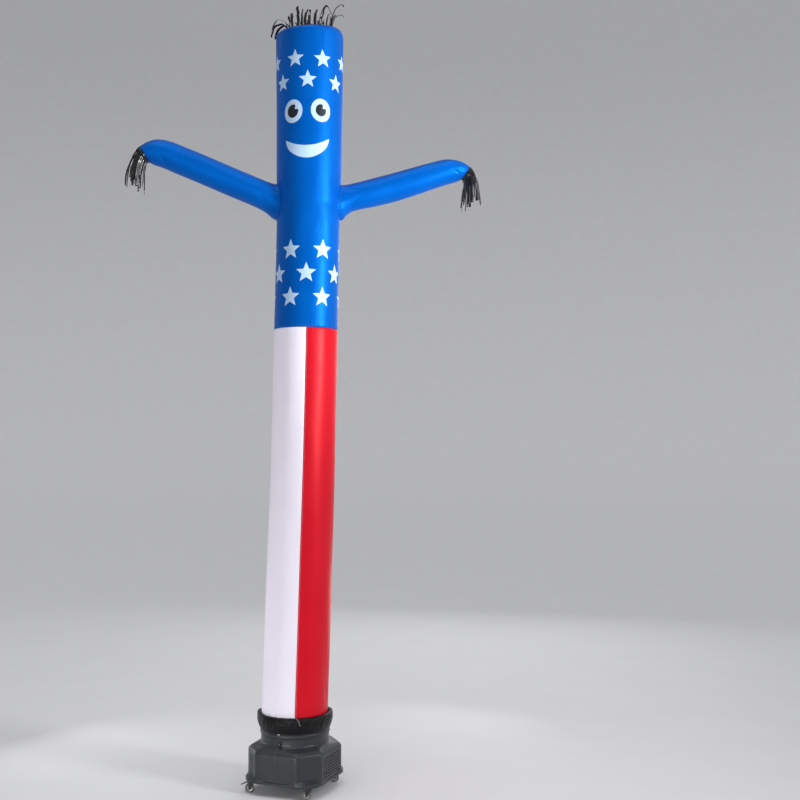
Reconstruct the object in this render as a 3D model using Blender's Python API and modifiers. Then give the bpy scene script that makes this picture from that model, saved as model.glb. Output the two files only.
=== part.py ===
"""Inflatable air dancer: a printed nylon tube with two arms, standing on its floor blower.

Metres, +Z up. The floor is z = 0 and the face looks along -Y. The origin is on the floor, under the
middle of the whole outline, so the blower's own axis is a little to one side of it.
Angles round an upright axis are measured from the front (-Y), positive towards +X.
"""

import math

import bmesh
import bpy
from mathutils import Matrix, Vector

# --- driving sizes -----------------------------------------------------------------------------

BLOWER_X = -0.043  # the blower's upright axis; the figure leans from it towards +X
BLOWER_YAW = math.radians(-27.0)  # direction of the blower's front face, from -Y towards -X

CLOTH = 0.001  # coated nylon with its seam allowances
GAP = 0.0003  # between pieces that are sewn or bolted together
TUBE_SIDES = 40
ARM_SIDES = 20

TUBE_BOTTOM = 0.3285
BORDER = 2.026  # the seam between the striped leg and the blue top
SHOULDER = 3.354  # where the crown starts to round over
CROWN_RISE = 0.040
CROWN_DRAW = 0.030
CROWN_TILT = math.radians(4.2)  # the crown is higher on the +X side
CROWN_NOD = math.radians(7.2)  # and higher at the back
VENT_RADIUS = 0.055
VENT_RISE = 0.003

# The inflated tube: centre_x is from the blower's axis.
TUBE = (
    {"height": 0.300, "centre_x": -0.001, "diameter": 0.2960},
    {"height": 0.360, "centre_x": -0.001, "diameter": 0.2935},
    {"height": 0.640, "centre_x": 0.007, "diameter": 0.2922},
    {"height": 1.000, "centre_x": 0.017, "diameter": 0.2890},
    {"height": 1.350, "centre_x": 0.027, "diameter": 0.2872},
    {"height": 1.700, "centre_x": 0.035, "diameter": 0.2860},
    {"height": 2.030, "centre_x": 0.041, "diameter": 0.2845},
    {"height": 2.340, "centre_x": 0.047, "diameter": 0.2825},
    {"height": 2.560, "centre_x": 0.051, "diameter": 0.2870},
    {"height": 2.780, "centre_x": 0.053, "diameter": 0.2975},
    {"height": 3.100, "centre_x": 0.053, "diameter": 0.3000},
    {"height": 3.300, "centre_x": 0.053, "diameter": 0.3050},
    {"height": 3.354, "centre_x": 0.053, "diameter": 0.3050},
    {"height": 3.500, "centre_x": 0.053, "diameter": 0.3040},
)

# Each arm from inside the tube to its open mouth. lean_deg turns a ring's own up direction
# towards +X; half_up and half_depth are the ring's half sizes.
ARM_LEFT = (
    {"x": 0.013, "z": 2.571, "lean_deg": 21.9, "half_up": 0.0680, "half_depth": 0.0660},
    {"x": -0.080, "z": 2.603, "lean_deg": 21.9, "half_up": 0.0775, "half_depth": 0.0660},
    {"x": -0.111, "z": 2.617, "lean_deg": 21.9, "half_up": 0.0690, "half_depth": 0.0645},
    {"x": -0.155, "z": 2.637, "lean_deg": 21.9, "half_up": 0.0645, "half_depth": 0.0635},
    {"x": -0.287, "z": 2.691, "lean_deg": 22.5, "half_up": 0.0635, "half_depth": 0.0630},
    {"x": -0.397, "z": 2.736, "lean_deg": 22.0, "half_up": 0.0625, "half_depth": 0.0625},
    {"x": -0.507, "z": 2.780, "lean_deg": 21.5, "half_up": 0.0620, "half_depth": 0.0620},
    {"x": -0.585, "z": 2.811, "lean_deg": 19.0, "half_up": 0.0615, "half_depth": 0.0610},
    {"x": -0.629, "z": 2.820, "lean_deg": 4.0, "half_up": 0.0585, "half_depth": 0.0595},
    {"x": -0.659, "z": 2.816, "lean_deg": -14.0, "half_up": 0.0500, "half_depth": 0.0560},
    {"x": -0.684, "z": 2.810, "lean_deg": -31.0, "half_up": 0.0390, "half_depth": 0.0510},
)
ARM_RIGHT = (
    {"x": 0.093, "z": 2.598, "lean_deg": -15.0, "half_up": 0.0740, "half_depth": 0.0660},
    {"x": 0.183, "z": 2.607, "lean_deg": -15.0, "half_up": 0.0790, "half_depth": 0.0660},
    {"x": 0.207, "z": 2.618, "lean_deg": -14.5, "half_up": 0.0690, "half_depth": 0.0645},
    {"x": 0.237, "z": 2.630, "lean_deg": -14.5, "half_up": 0.0620, "half_depth": 0.0630},
    {"x": 0.343, "z": 2.658, "lean_deg": -15.0, "half_up": 0.0630, "half_depth": 0.0625},
    {"x": 0.433, "z": 2.683, "lean_deg": -16.0, "half_up": 0.0630, "half_depth": 0.0625},
    {"x": 0.533, "z": 2.714, "lean_deg": -17.0, "half_up": 0.0615, "half_depth": 0.0620},
    {"x": 0.633, "z": 2.747, "lean_deg": -17.5, "half_up": 0.0590, "half_depth": 0.0600},
    {"x": 0.697, "z": 2.765, "lean_deg": -14.0, "half_up": 0.0565, "half_depth": 0.0580},
    {"x": 0.735, "z": 2.766, "lean_deg": 4.0, "half_up": 0.0480, "half_depth": 0.0530},
    {"x": 0.756, "z": 2.761, "lean_deg": 20.0, "half_up": 0.0400, "half_depth": 0.0490},
    {"x": 0.770, "z": 2.756, "lean_deg": 33.5, "half_up": 0.0340, "half_depth": 0.0460},
)

# The black collar, from its sewn top edge down to the hem that grips the outlet's band.
COLLAR = (
    {"height": 0.3345, "centre_x": -0.001, "radius": 0.1485, "pleat": 0.0},
    {"height": 0.3310, "centre_x": -0.001, "radius": 0.1540, "pleat": 0.5},
    {"height": 0.3250, "centre_x": 0.000, "radius": 0.1620, "pleat": 1.0},
    {"height": 0.3180, "centre_x": 0.000, "radius": 0.1655, "pleat": 1.0},
    {"height": 0.3080, "centre_x": 0.000, "radius": 0.1665, "pleat": 0.8},
    {"height": 0.2940, "centre_x": 0.000, "radius": 0.1642, "pleat": 0.4},
    {"height": 0.2810, "centre_x": 0.000, "radius": 0.1560, "pleat": 0.1},
    {"height": 0.2750, "centre_x": 0.000, "radius": 0.1530, "pleat": 0.0},
    {"height": 0.2660, "centre_x": 0.000, "radius": 0.1530, "pleat": 0.0},
)
PLEAT_DEPTH = 0.0014
PLEATS = 11

# Fringes: strips of black foil cloth cut along one edge of a sewn band, a strip on two parts in four.
FRINGE_SEGMENTS = 4
FRINGE_FOLD = 0.0022  # how far a strip's middle crease stands out

HAIR_BAND_RADIUS = 0.100
HAIR_BAND = 0.008
# One row a strip, from the front round by +X. rise: how high it stands above the band;
# out: how far its tip moves outwards; fall: how far the tip drops back; aside: its tip's shift.
HAIR = (
    {"rise": 0.094, "out": -0.004, "fall": 0.000, "aside": 0.003},
    {"rise": 0.090, "out": 0.006, "fall": 0.010, "aside": 0.040},
    {"rise": 0.062, "out": 0.010, "fall": 0.000, "aside": 0.004},
    {"rise": 0.070, "out": 0.016, "fall": 0.000, "aside": -0.004},
    {"rise": 0.060, "out": 0.022, "fall": 0.006, "aside": 0.006},
    {"rise": 0.104, "out": 0.044, "fall": 0.006, "aside": -0.010},
    {"rise": 0.080, "out": 0.020, "fall": 0.000, "aside": 0.004},
    {"rise": 0.096, "out": 0.004, "fall": 0.004, "aside": 0.012},
    {"rise": 0.084, "out": 0.000, "fall": 0.000, "aside": -0.006},
    {"rise": 0.100, "out": 0.012, "fall": 0.010, "aside": 0.008},
    {"rise": 0.070, "out": 0.040, "fall": 0.050, "aside": 0.000},
    {"rise": 0.052, "out": 0.052, "fall": 0.068, "aside": 0.006},
    {"rise": 0.060, "out": 0.048, "fall": 0.060, "aside": -0.008},
    {"rise": 0.088, "out": 0.012, "fall": 0.004, "aside": 0.006},
    {"rise": 0.072, "out": 0.000, "fall": 0.000, "aside": -0.004},
    {"rise": 0.092, "out": 0.002, "fall": 0.000, "aside": -0.006},
)

TASSEL_BAND = 0.012
# One row a strip, from the mouth's front round by its top. drop: the tip's height below the
# mouth's middle; out: how far past the middle it hangs; near: how far its tip comes to the front.
TASSEL = (
    {"drop": 0.150, "out": 0.034, "near": 0.060},
    {"drop": 0.118, "out": 0.062, "near": 0.044},
    {"drop": 0.172, "out": 0.074, "near": 0.018},
    {"drop": 0.140, "out": 0.088, "near": -0.010},
    {"drop": 0.106, "out": 0.066, "near": -0.038},
    {"drop": 0.160, "out": 0.040, "near": -0.058},
    {"drop": 0.134, "out": 0.012, "near": -0.044},
    {"drop": 0.176, "out": -0.004, "near": -0.016},
    {"drop": 0.182, "out": 0.008, "near": 0.014},
    {"drop": 0.164, "out": 0.022, "near": 0.042},
)

# Blower housing. half is the distance from the axis to a flat side, cut the corner that is taken off.
HOUSING_HALF = 0.180
HOUSING_CUT = 0.080
BASE_UNDERSIDE = 0.053
BASE_TOP = 0.0637
WALL_BOTTOM = BASE_TOP + GAP
SHELL_INSIDE_RADIUS = 0.1459
BAND_INSIDE_RADIUS = 0.1495
BAND_RADIUS = 0.1512
BAND_BOTTOM = 0.2613
BAND_TOP = 0.3047
RIM_RADIUS = 0.160

# The housing's section, outside from the bottom up and then inside from the top down.
# round is 0 for the cut-corner square and 1 for the circle; size is its half width or radius.
HOUSING_SECTION = (
    {"height": WALL_BOTTOM, "round": 0.0, "size": HOUSING_HALF},
    {"height": 0.1820, "round": 0.0, "size": HOUSING_HALF},
    {"height": 0.1965, "round": 0.0, "size": 0.1685},
    {"height": 0.2030, "round": 0.55, "size": 0.1600},
    {"height": 0.2100, "round": 1.0, "size": 0.1520},
    {"height": 0.2155, "round": 1.0, "size": 0.1500},
    {"height": 0.2450, "round": 1.0, "size": 0.1500},
    {"height": 0.2475, "round": 1.0, "size": 0.1530},
    {"height": 0.2585, "round": 1.0, "size": 0.1530},
    {"height": 0.2610, "round": 1.0, "size": 0.1515},
    {"height": 0.2610, "round": 1.0, "size": BAND_INSIDE_RADIUS - GAP},
    {"height": 0.3050, "round": 1.0, "size": BAND_INSIDE_RADIUS - GAP},
    {"height": 0.3050, "round": 1.0, "size": 0.1560},
    {"height": 0.3085, "round": 1.0, "size": RIM_RADIUS},
    {"height": 0.3170, "round": 1.0, "size": RIM_RADIUS},
    {"height": 0.3225, "round": 1.0, "size": 0.1555},
    {"height": 0.3225, "round": 1.0, "size": 0.1495},
    {"height": 0.3190, "round": 1.0, "size": SHELL_INSIDE_RADIUS},
    {"height": 0.2135, "round": 1.0, "size": SHELL_INSIDE_RADIUS},
    {"height": 0.2010, "round": 0.55, "size": 0.1545},
    {"height": 0.1925, "round": 0.0, "size": 0.1640},
    {"height": 0.1800, "round": 0.0, "size": 0.1755},
    {"height": WALL_BOTTOM, "round": 0.0, "size": 0.1755},
)

# Air slots: pitch and size of one slot, and the block of slots on each face.
SLOT_LONG = 0.0142
SLOT_HIGH = 0.0055
SLOT_PITCH_LONG = 0.0205
SLOT_PITCH_HIGH = 0.0115
SLOT_BLOCKS = (
    {"half": "right", "face_deg": 90.0, "columns": 8, "rows": 8, "middle_z": 0.120},
    {"half": "left", "face_deg": -90.0, "columns": 8, "rows": 8, "middle_z": 0.120},
    {"half": "left", "face_deg": -45.0, "columns": 3, "rows": 8, "middle_z": 0.120},
)

BASE_HALF = 0.183
BASE_CORNER_RADIUS = 0.0925
FOOT_TIP_TOP = 0.069
FOOT_WALL_TOP = 0.081

GUARD_RADIUS = 0.1447
GUARD_BOTTOM = 0.3115
GUARD_WIRE = 0.004
GUARD_RINGS = 5
GUARD_SPOKES = 6
GUARD_SIDES = 28
GUARD_HUB_RADIUS = 0.026

NECK_RADIUS = 0.150
KNOB_HEIGHT = 0.2225
KNOB_ANGLE = math.radians(-23.0)

# Casters: the same piece under each corner of the base, trailing towards -X at rest.
CASTER_CIRCLE = 0.195
CASTER_NAMES = ("front", "right", "back", "left")
CASTER_TRAIL = 0.010
WHEEL_RADIUS = 0.0205
WHEEL_WIDTH = 0.0160
WHEEL_SIDES = 20
HUB_RADIUS = 0.0115
AXLE_RADIUS = 0.0030
FORK_LEG = 0.0020
PLATE_SIDE = 0.030
PLATE_THICK = 0.0030
CROWN_RADIUS = 0.0130
CROWN_THICK = 0.0034
PEDAL_THICK = 0.0018
PEDAL_WIDTH = 0.0150
AXLE_HEIGHT = WHEEL_RADIUS * math.cos(math.pi / WHEEL_SIDES)

COLOURS = {
    "blue_nylon": ((0.004, 0.055, 0.300, 1.0), 0.45, 0.0),
    "white_nylon": ((0.780, 0.760, 0.800, 1.0), 0.45, 0.0),
    "red_nylon": ((0.700, 0.010, 0.022, 1.0), 0.45, 0.0),
    "black_nylon": ((0.010, 0.010, 0.012, 1.0), 0.55, 0.0),
    "black_foil": ((0.006, 0.006, 0.008, 1.0), 0.25, 0.1),
    "moulded_grey": ((0.030, 0.032, 0.036, 1.0), 0.50, 0.0),
    "gloss_black": ((0.008, 0.008, 0.009, 1.0), 0.20, 0.0),
    "black_steel": ((0.012, 0.012, 0.013, 1.0), 0.40, 0.6),
    "bright_steel": ((0.700, 0.700, 0.710, 1.0), 0.18, 1.0),
    "grey_tyre": ((0.050, 0.050, 0.052, 1.0), 0.80, 0.0),
    "pale_clip": ((0.700, 0.700, 0.690, 1.0), 0.40, 0.0),
}


# --- scene helpers -----------------------------------------------------------------------------


def clear_scene():
    """Removes whatever the file holds."""
    for thing in list(bpy.data.objects):
        bpy.data.objects.remove(thing)


def new_collection(name):
    made = bpy.data.collections.new(name)
    bpy.context.scene.collection.children.link(made)
    return made


def material(name):
    """The named finish, made once."""
    found = bpy.data.materials.get(name)
    if found:
        return found
    colour, roughness, metallic = COLOURS[name]
    made = bpy.data.materials.new(name)
    made.use_nodes = True
    shader = made.node_tree.nodes["Principled BSDF"]
    shader.inputs["Base Color"].default_value = colour
    shader.inputs["Roughness"].default_value = roughness
    shader.inputs["Metallic"].default_value = metallic
    return made


def mesh_object(name, points, faces, finish, group, closed=True, smooth_deg=40.0):
    """An object from points and faces. A closed mesh gets its faces turned outwards."""
    mesh = bpy.data.meshes.new(name)
    mesh.from_pydata([tuple(p) for p in points], [], faces)
    if closed:
        work = bmesh.new()
        work.from_mesh(mesh)
        bmesh.ops.recalc_face_normals(work, faces=work.faces)
        work.to_mesh(mesh)
        work.free()
    mesh.shade_smooth()
    mesh.set_sharp_from_angle(angle=math.radians(smooth_deg))
    made = bpy.data.objects.new(name, mesh)
    if finish:
        made.data.materials.append(material(finish))
    group.objects.link(made)
    return made


def as_cutter(thing):
    thing.hide_render = True
    thing.display_type = "WIRE"
    return thing


def cut(thing, cutter, operation="DIFFERENCE"):
    """A Boolean with the exact solver; the cutter stays as a guide."""
    step = thing.modifiers.new(operation.title() + " " + cutter.name, "BOOLEAN")
    step.operation = operation
    step.solver = "EXACT"
    step.object = cutter
    return step


def thicken(thing, thickness, even=True):
    """Solidify an open surface behind its faces; even keeps its thickness round a fold."""
    step = thing.modifiers.new("Thickness", "SOLIDIFY")
    step.thickness = thickness
    step.offset = -1.0
    step.use_even_offset = even
    return step


# --- geometry helpers --------------------------------------------------------------------------


def smooth_value(rows, key, column, at):
    """Reads a column of a table at a key, on a smooth curve through its rows."""
    keys = [row[key] for row in rows]
    values = [row[column] for row in rows]
    at = min(max(at, keys[0]), keys[-1])
    i = max(k for k in range(len(keys) - 1) if keys[k] <= at or k == 0)
    before = max(i - 1, 0)
    after = min(i + 2, len(keys) - 1)
    span = keys[i + 1] - keys[i]
    slope_in = (values[i + 1] - values[before]) / (keys[i + 1] - keys[before])
    slope_out = (values[after] - values[i]) / (keys[after] - keys[i])
    t = (at - keys[i]) / span
    h00 = (1 + 2 * t) * (1 - t) ** 2
    h10 = t * (1 - t) ** 2
    h01 = t * t * (3 - 2 * t)
    h11 = t * t * (t - 1)
    return h00 * values[i] + h10 * span * slope_in + h01 * values[i + 1] + h11 * span * slope_out


def tube_centre(height):
    return BLOWER_X + smooth_value(TUBE, "height", "centre_x", height)


def tube_radius(height):
    return smooth_value(TUBE, "height", "diameter", height) / 2


def round_point(centre_x, radius, angle, height):
    """A point on an upright circle; angle is from the front (-Y) towards +X."""
    return Vector((centre_x + radius * math.sin(angle), -radius * math.cos(angle), height))


def full_turn(sides):
    return [2 * math.pi * k / sides for k in range(sides)]


def steps(start, end, count):
    """count + 1 evenly spaced values from start to end."""
    return [start + (end - start) * k / count for k in range(count + 1)]


def grid_faces(rows, columns, wrap):
    """Quads between rows of points that run anticlockwise seen from above, facing outwards."""
    faces = []
    for r in range(rows - 1):
        for c in range(columns if wrap else columns - 1):
            d = (c + 1) % columns
            faces.append((r * columns + c, r * columns + d, (r + 1) * columns + d, (r + 1) * columns + c))
    return faces


def turned_over(faces):
    return [tuple(reversed(face)) for face in faces]


def closed_loft(name, rings, finish, group):
    """A solid through rings of equal count, capped at both ends."""
    columns = len(rings[0])
    points = [p for ring in rings for p in ring]
    faces = grid_faces(len(rings), columns, True)
    faces.append(tuple(reversed(range(columns))))
    last = (len(rings) - 1) * columns
    faces.append(tuple(last + c for c in range(columns)))
    return mesh_object(name, points, faces, finish, group)


def turned(name, profile, sides, finish, group, centre=(0.0, 0.0), start=0.0):
    """A closed ring turned from (radius, height) points, with flats at the given start angle."""
    count = len(profile)
    points = []
    for angle in full_turn(sides):
        for radius, height in profile:
            p = round_point(centre[0], radius, angle + start, height)
            points.append(p + Vector((0.0, centre[1], 0.0)))
    faces = []
    for c in range(sides):
        d = (c + 1) % sides
        for k in range(count):
            m = (k + 1) % count
            faces.append((c * count + k, d * count + k, d * count + m, c * count + m))
    return mesh_object(name, points, faces, finish, group)


def box(name, size, centre, finish, group, turn=0.0):
    """A box from Blender's cube, turned about its own upright axis."""
    work = bmesh.new()
    bmesh.ops.create_cube(work, size=1.0)
    bmesh.ops.scale(work, vec=Vector(size), verts=work.verts)
    mesh = bpy.data.meshes.new(name)
    work.to_mesh(mesh)
    work.free()
    made = bpy.data.objects.new(name, mesh)
    made.location = centre
    made.rotation_euler = (0.0, 0.0, turn)
    if finish:
        mesh.materials.append(material(finish))
    group.objects.link(made)
    return made


def rod(name, radius, length, sides, finish, group, matrix, top_radius=None):
    """A cylinder or cone about its own Z axis, placed by a matrix."""
    work = bmesh.new()
    bmesh.ops.create_cone(
        work,
        cap_ends=True,
        segments=sides,
        radius1=radius,
        radius2=radius if top_radius is None else top_radius,
        depth=length,
    )
    mesh = bpy.data.meshes.new(name)
    work.to_mesh(mesh)
    work.free()
    mesh.shade_smooth()
    mesh.set_sharp_from_angle(angle=math.radians(40.0))
    made = bpy.data.objects.new(name, mesh)
    made.matrix_world = matrix
    if finish:
        mesh.materials.append(material(finish))
    group.objects.link(made)
    return made


# --- the cloth figure --------------------------------------------------------------------------


def tube_ring(height, grow=0.0, sides=TUBE_SIDES):
    centre = tube_centre(height)
    radius = tube_radius(height) + grow
    return [round_point(centre, radius, a, height) for a in full_turn(sides)]


def crown_lean(point):
    """How much higher the leaning crown is at a point than at its middle."""
    across = point.x - tube_centre(SHOULDER)
    return math.tan(CROWN_TILT) * across + math.tan(CROWN_NOD) * point.y


def crown_rings():
    """The rounded shoulder and the flat crown round the vent, leaning as one."""
    centre = tube_centre(SHOULDER)
    radius = tube_radius(SHOULDER)
    shape = []
    for share in (1, 2, 3, 4):
        turn = math.radians(22.5 * share)
        drawn_in = CROWN_DRAW * (1 - math.cos(turn))
        shape.append((radius - drawn_in, math.sin(turn)))
    shape.append((VENT_RADIUS, 1.0 + VENT_RISE / CROWN_RISE))
    rings = []
    for ring_radius, share in shape:
        ring = []
        for angle in full_turn(TUBE_SIDES):
            p = round_point(centre, ring_radius, angle, SHOULDER + CROWN_RISE * share)
            p.z += min(1.0, share) * crown_lean(p)
            ring.append(p)
        rings.append(ring)
    return rings


def crown_height(point):
    """Height of the crown's upper face under a point."""
    centre = Vector((tube_centre(SHOULDER), 0.0))
    radius = (point.xy - centre).length
    flat_radius = tube_radius(SHOULDER) - CROWN_DRAW
    share = (flat_radius - radius) / (flat_radius - VENT_RADIUS)
    return SHOULDER + CROWN_RISE + VENT_RISE * share + crown_lean(point)


def arm_rings(table, shrink=0.0, sides=ARM_SIDES):
    """Rings of an arm, each in its own leaning plane, running from the tube to the mouth."""
    rings = []
    for row in table:
        lean = math.radians(row["lean_deg"])
        up = Vector((math.sin(lean), 0.0, math.cos(lean)))
        centre = Vector((BLOWER_X + row["x"], 0.0, row["z"]))
        ring = []
        for angle in full_turn(sides):
            rise = up * (math.sin(angle) * (row["half_up"] - shrink))
            depth = Vector((0.0, -math.cos(angle) * (row["half_depth"] - shrink), 0.0))
            ring.append(centre + rise + depth)
        rings.append(ring)
    return rings


def sleeve_heights():
    return steps(BORDER, SHOULDER, 8)


def upper_sleeve(group, cutters):
    """The blue torso and head, one sewn tube with a hole for each arm and a vent in its crown."""
    rings = [tube_ring(h) for h in sleeve_heights()] + crown_rings()
    points = [p for ring in rings for p in ring]
    faces = grid_faces(len(rings), TUBE_SIDES, True)
    sleeve = mesh_object("upper_sleeve", points, faces, "blue_nylon", group, closed=False)
    thicken(sleeve, CLOTH)
    for side, table in (("left", ARM_LEFT), ("right", ARM_RIGHT)):
        root = arm_rings(table[:5], shrink=2 * CLOTH)
        hole = as_cutter(closed_loft("cut_arm_hole_" + side, root, None, cutters))
        cut(sleeve, hole)
    return sleeve


def arm_sleeve(side, table, group, cutters):
    """A tapered arm, sewn to the torso at its flared root and open at its mouth."""
    rings = arm_rings(table)
    points = [p for ring in rings for p in ring]
    faces = grid_faces(len(rings), ARM_SIDES, True)
    if side == "right":
        faces = turned_over(faces)
    arm = mesh_object("arm_sleeve_" + side, points, faces, "blue_nylon", group, closed=False)
    thicken(arm, CLOTH)
    torso = [tube_ring(h, grow=GAP) for h in sleeve_heights() if 2.2 < h < 3.0]
    seat = as_cutter(closed_loft("cut_torso_" + side, torso, None, cutters))
    cut(arm, seat)
    return arm


def leg_panel(name, finish, first, last, group):
    """One of the two long panels of the striped leg, from the front seam to the back seam."""
    count = TUBE_SIDES // 2
    heights = steps(TUBE_BOTTOM, BORDER - GAP, 6)
    points = []
    for height in heights:
        centre = tube_centre(height)
        radius = tube_radius(height)
        allowance = 0.8 * GAP / radius
        for k, angle in enumerate(steps(first, last, count)):
            edge = allowance if k == 0 else -allowance if k == count else 0.0
            points.append(round_point(centre, radius, angle + edge, height))
    faces = grid_faces(len(heights), count + 1, False)
    panel = mesh_object(name, points, faces, finish, group, closed=False)
    thicken(panel, CLOTH)
    return panel


def collar(group):
    """The black skirt of the tube, gathered over the outlet's rim and gripping the band below it."""
    points = []
    for row in reversed(COLLAR):
        for angle in full_turn(TUBE_SIDES):
            wave = math.sin(PLEATS * angle) + 0.6 * math.sin(7 * angle + 1.3)
            radius = row["radius"] + row["pleat"] * PLEAT_DEPTH * wave * 0.5
            points.append(round_point(BLOWER_X + row["centre_x"], radius, angle, row["height"]))
    faces = grid_faces(len(COLLAR), TUBE_SIDES, True)
    made = mesh_object("base_collar", points, faces, "black_nylon", group, closed=False)
    thicken(made, CLOTH)
    return made


def collar_tie(group):
    """The short free end of the collar's tie, lying slantwise on its front."""
    length, width = 0.020, 0.0035
    made = box("collar_tie", (length, CLOTH, width), (0.0, 0.0, 0.0), "black_nylon", group)
    lean = Matrix.Rotation(math.radians(40.0), 4, "Y")
    made.matrix_world = Matrix.Translation((BLOWER_X + 0.003, -0.1674, 0.3130)) @ lean
    return made


def bend(start, pull, reach, end, t):
    """A point on a cubic curve from start to end."""
    u = 1 - t
    return start * u**3 + pull * (3 * u * u * t) + reach * (3 * u * t * t) + end * t**3


def strip_rows(root, path, outward):
    """Rows of 3 points that carry a strip on from its root along a path.

    The strip narrows to its tip, turns its width level as it goes and folds along its middle.
    """
    half = (root[2] - root[0]) / 2
    level = Vector((half.x, half.y, 0.0)).normalized() * half.length
    rows = []
    for k in range(1, FRINGE_SEGMENTS + 1):
        t = k / FRINGE_SEGMENTS
        middle = bend(*path, t)
        along = (middle - bend(*path, t - 0.05)).normalized()
        side = half.lerp(level, min(1.0, 2 * t))
        side = (side - along * side.dot(along)).normalized() * (half.length * (1 - 0.40 * t))
        fold = along.cross(side).normalized()
        if fold.dot(outward) < 0:
            fold = -fold
        rows.append([middle - side, middle + fold * (FRINGE_FOLD * min(1.0, 2 * t)), middle + side])
    return rows


def comb(name, band, strips, finish, group, flip=False):
    """A fringe as one sheet: a closed band, and strips that run on from its outer edge.

    band is two rings of 4 points a strip, the sewn edge first. flip turns the sheet's faces over.
    """
    columns = len(band[0])
    points = [p for ring in band for p in ring]
    faces = grid_faces(2, columns, True)
    for index, rows in enumerate(strips):
        root = [columns + 4 * index + c for c in range(3)]
        for row in rows:
            start = len(points)
            points.extend(row)
            here = [start, start + 1, start + 2]
            for c in range(2):
                faces.append((root[c], root[c + 1], here[c + 1], here[c]))
            root = here
    if flip:
        faces = turned_over(faces)
    made = mesh_object(name, points, faces, finish, group, closed=False)
    thicken(made, CLOTH, even=False)
    return made


def hair(group):
    """The fringe round the crown, blown upright by the vent's air, some strips bending over."""
    centre = tube_centre(SHOULDER)
    low, high = [], []
    turn = math.pi / (2 * len(HAIR))
    for angle in full_turn(4 * len(HAIR)):
        p = round_point(centre, HAIR_BAND_RADIUS, angle - turn, 0.0)
        p.z = crown_height(p) + 2 * GAP
        low.append(p)
        high.append(p + Vector((0.0, 0.0, HAIR_BAND)))
    up = Vector((0.0, 0.0, 1.0))
    strips = []
    for index, shape in enumerate(HAIR):
        root = [high[4 * index + c] for c in range(3)]
        angle = 2 * math.pi * index / len(HAIR)
        out = Vector((math.sin(angle), -math.cos(angle), 0.0))
        along = Vector((math.cos(angle), math.sin(angle), 0.0))
        start = root[1]
        pull = start + up * (0.55 * shape["rise"])
        reach = start + up * (shape["rise"] * 1.05) + (out * shape["out"] + along * shape["aside"]) * 0.45
        end = start + up * (shape["rise"] - shape["fall"]) + out * shape["out"] + along * shape["aside"]
        strips.append(strip_rows(root, (start, pull, reach, end), out))
    return comb("hair_fringe", (low, high), strips, "black_foil", group)


def tassel(side, table, group):
    """The fringe sewn round an arm's mouth; its strips leave the mouth and turn to hang down."""
    mouth = table[-1]
    outward = -1.0 if side == "left" else 1.0
    lean = math.radians(mouth["lean_deg"])
    up = Vector((math.sin(lean), 0.0, math.cos(lean)))
    forward = Vector((outward * math.cos(lean), 0.0, -outward * math.sin(lean)))
    centre = Vector((BLOWER_X + mouth["x"], 0.0, mouth["z"]))
    half_up = mouth["half_up"] - CLOTH / 2
    half_depth = mouth["half_depth"] - CLOTH / 2
    start, end = [], []
    for angle in full_turn(4 * len(TASSEL)):
        p = centre + up * (math.sin(angle) * half_up)
        p += Vector((0.0, -math.cos(angle) * half_depth, 0.0))
        start.append(p + forward * GAP)
        end.append(p + forward * TASSEL_BAND)
    strips = []
    for index, shape in enumerate(TASSEL):
        root = [end[4 * index + c] for c in range(3)]
        tip = centre + Vector((outward * shape["out"], -shape["near"], -shape["drop"]))
        above = Vector((tip.x, tip.y, (tip.z + root[1].z) / 2))
        path = (root[1], root[1] + forward * 0.020, above, tip)
        strips.append(strip_rows(root, path, Vector((outward, 0.0, 0.0))))
    return comb("tassel_" + side, (start, end), strips, "black_foil", group, flip=outward > 0)


# --- the blower --------------------------------------------------------------------------------


def blower_point(radius, angle, height):
    """A point round the blower's axis; angle 0 is its front face, positive towards its right side."""
    return round_point(BLOWER_X, radius, BLOWER_YAW + angle, height)


def cut_square_radius(angle, half, corner):
    """Distance from the axis to the outline of a square whose corners are cut at 45 degrees."""
    to_flat = half / max(abs(math.cos(angle)), abs(math.sin(angle)))
    diagonal = (2 * half - corner) / (abs(math.cos(angle)) + abs(math.sin(angle)))
    return min(to_flat, diagonal)


def rounded_square_radius(angle, half, corner):
    """Distance from the axis to the outline of a square with rounded corners."""
    inner = half - corner
    c, s = abs(math.cos(angle)), abs(math.sin(angle))
    radius = half / max(c, s)
    if min(c, s) * radius <= inner:
        return radius
    along = inner * (c + s)
    return along + math.sqrt(along * along - (2 * inner * inner - corner * corner))


def half_angles(first_deg):
    """Angles over half a turn that include every corner of the cut square."""
    corner = math.degrees(math.atan2(HOUSING_HALF - HOUSING_CUT, HOUSING_HALF))
    marks = []
    for face in (0, 90, 180):
        marks += [face - corner, face, face + corner]
    marks = sorted(m for m in marks if 0 < m < 180)
    marks = [0.0] + marks + [180.0]
    found = []
    for low, high in zip(marks, marks[1:]):
        count = max(2, round((high - low) / 9.5))
        found += steps(low, high, count)[:-1]
    found.append(180.0)
    return [math.radians(first_deg + a) for a in found]


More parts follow.
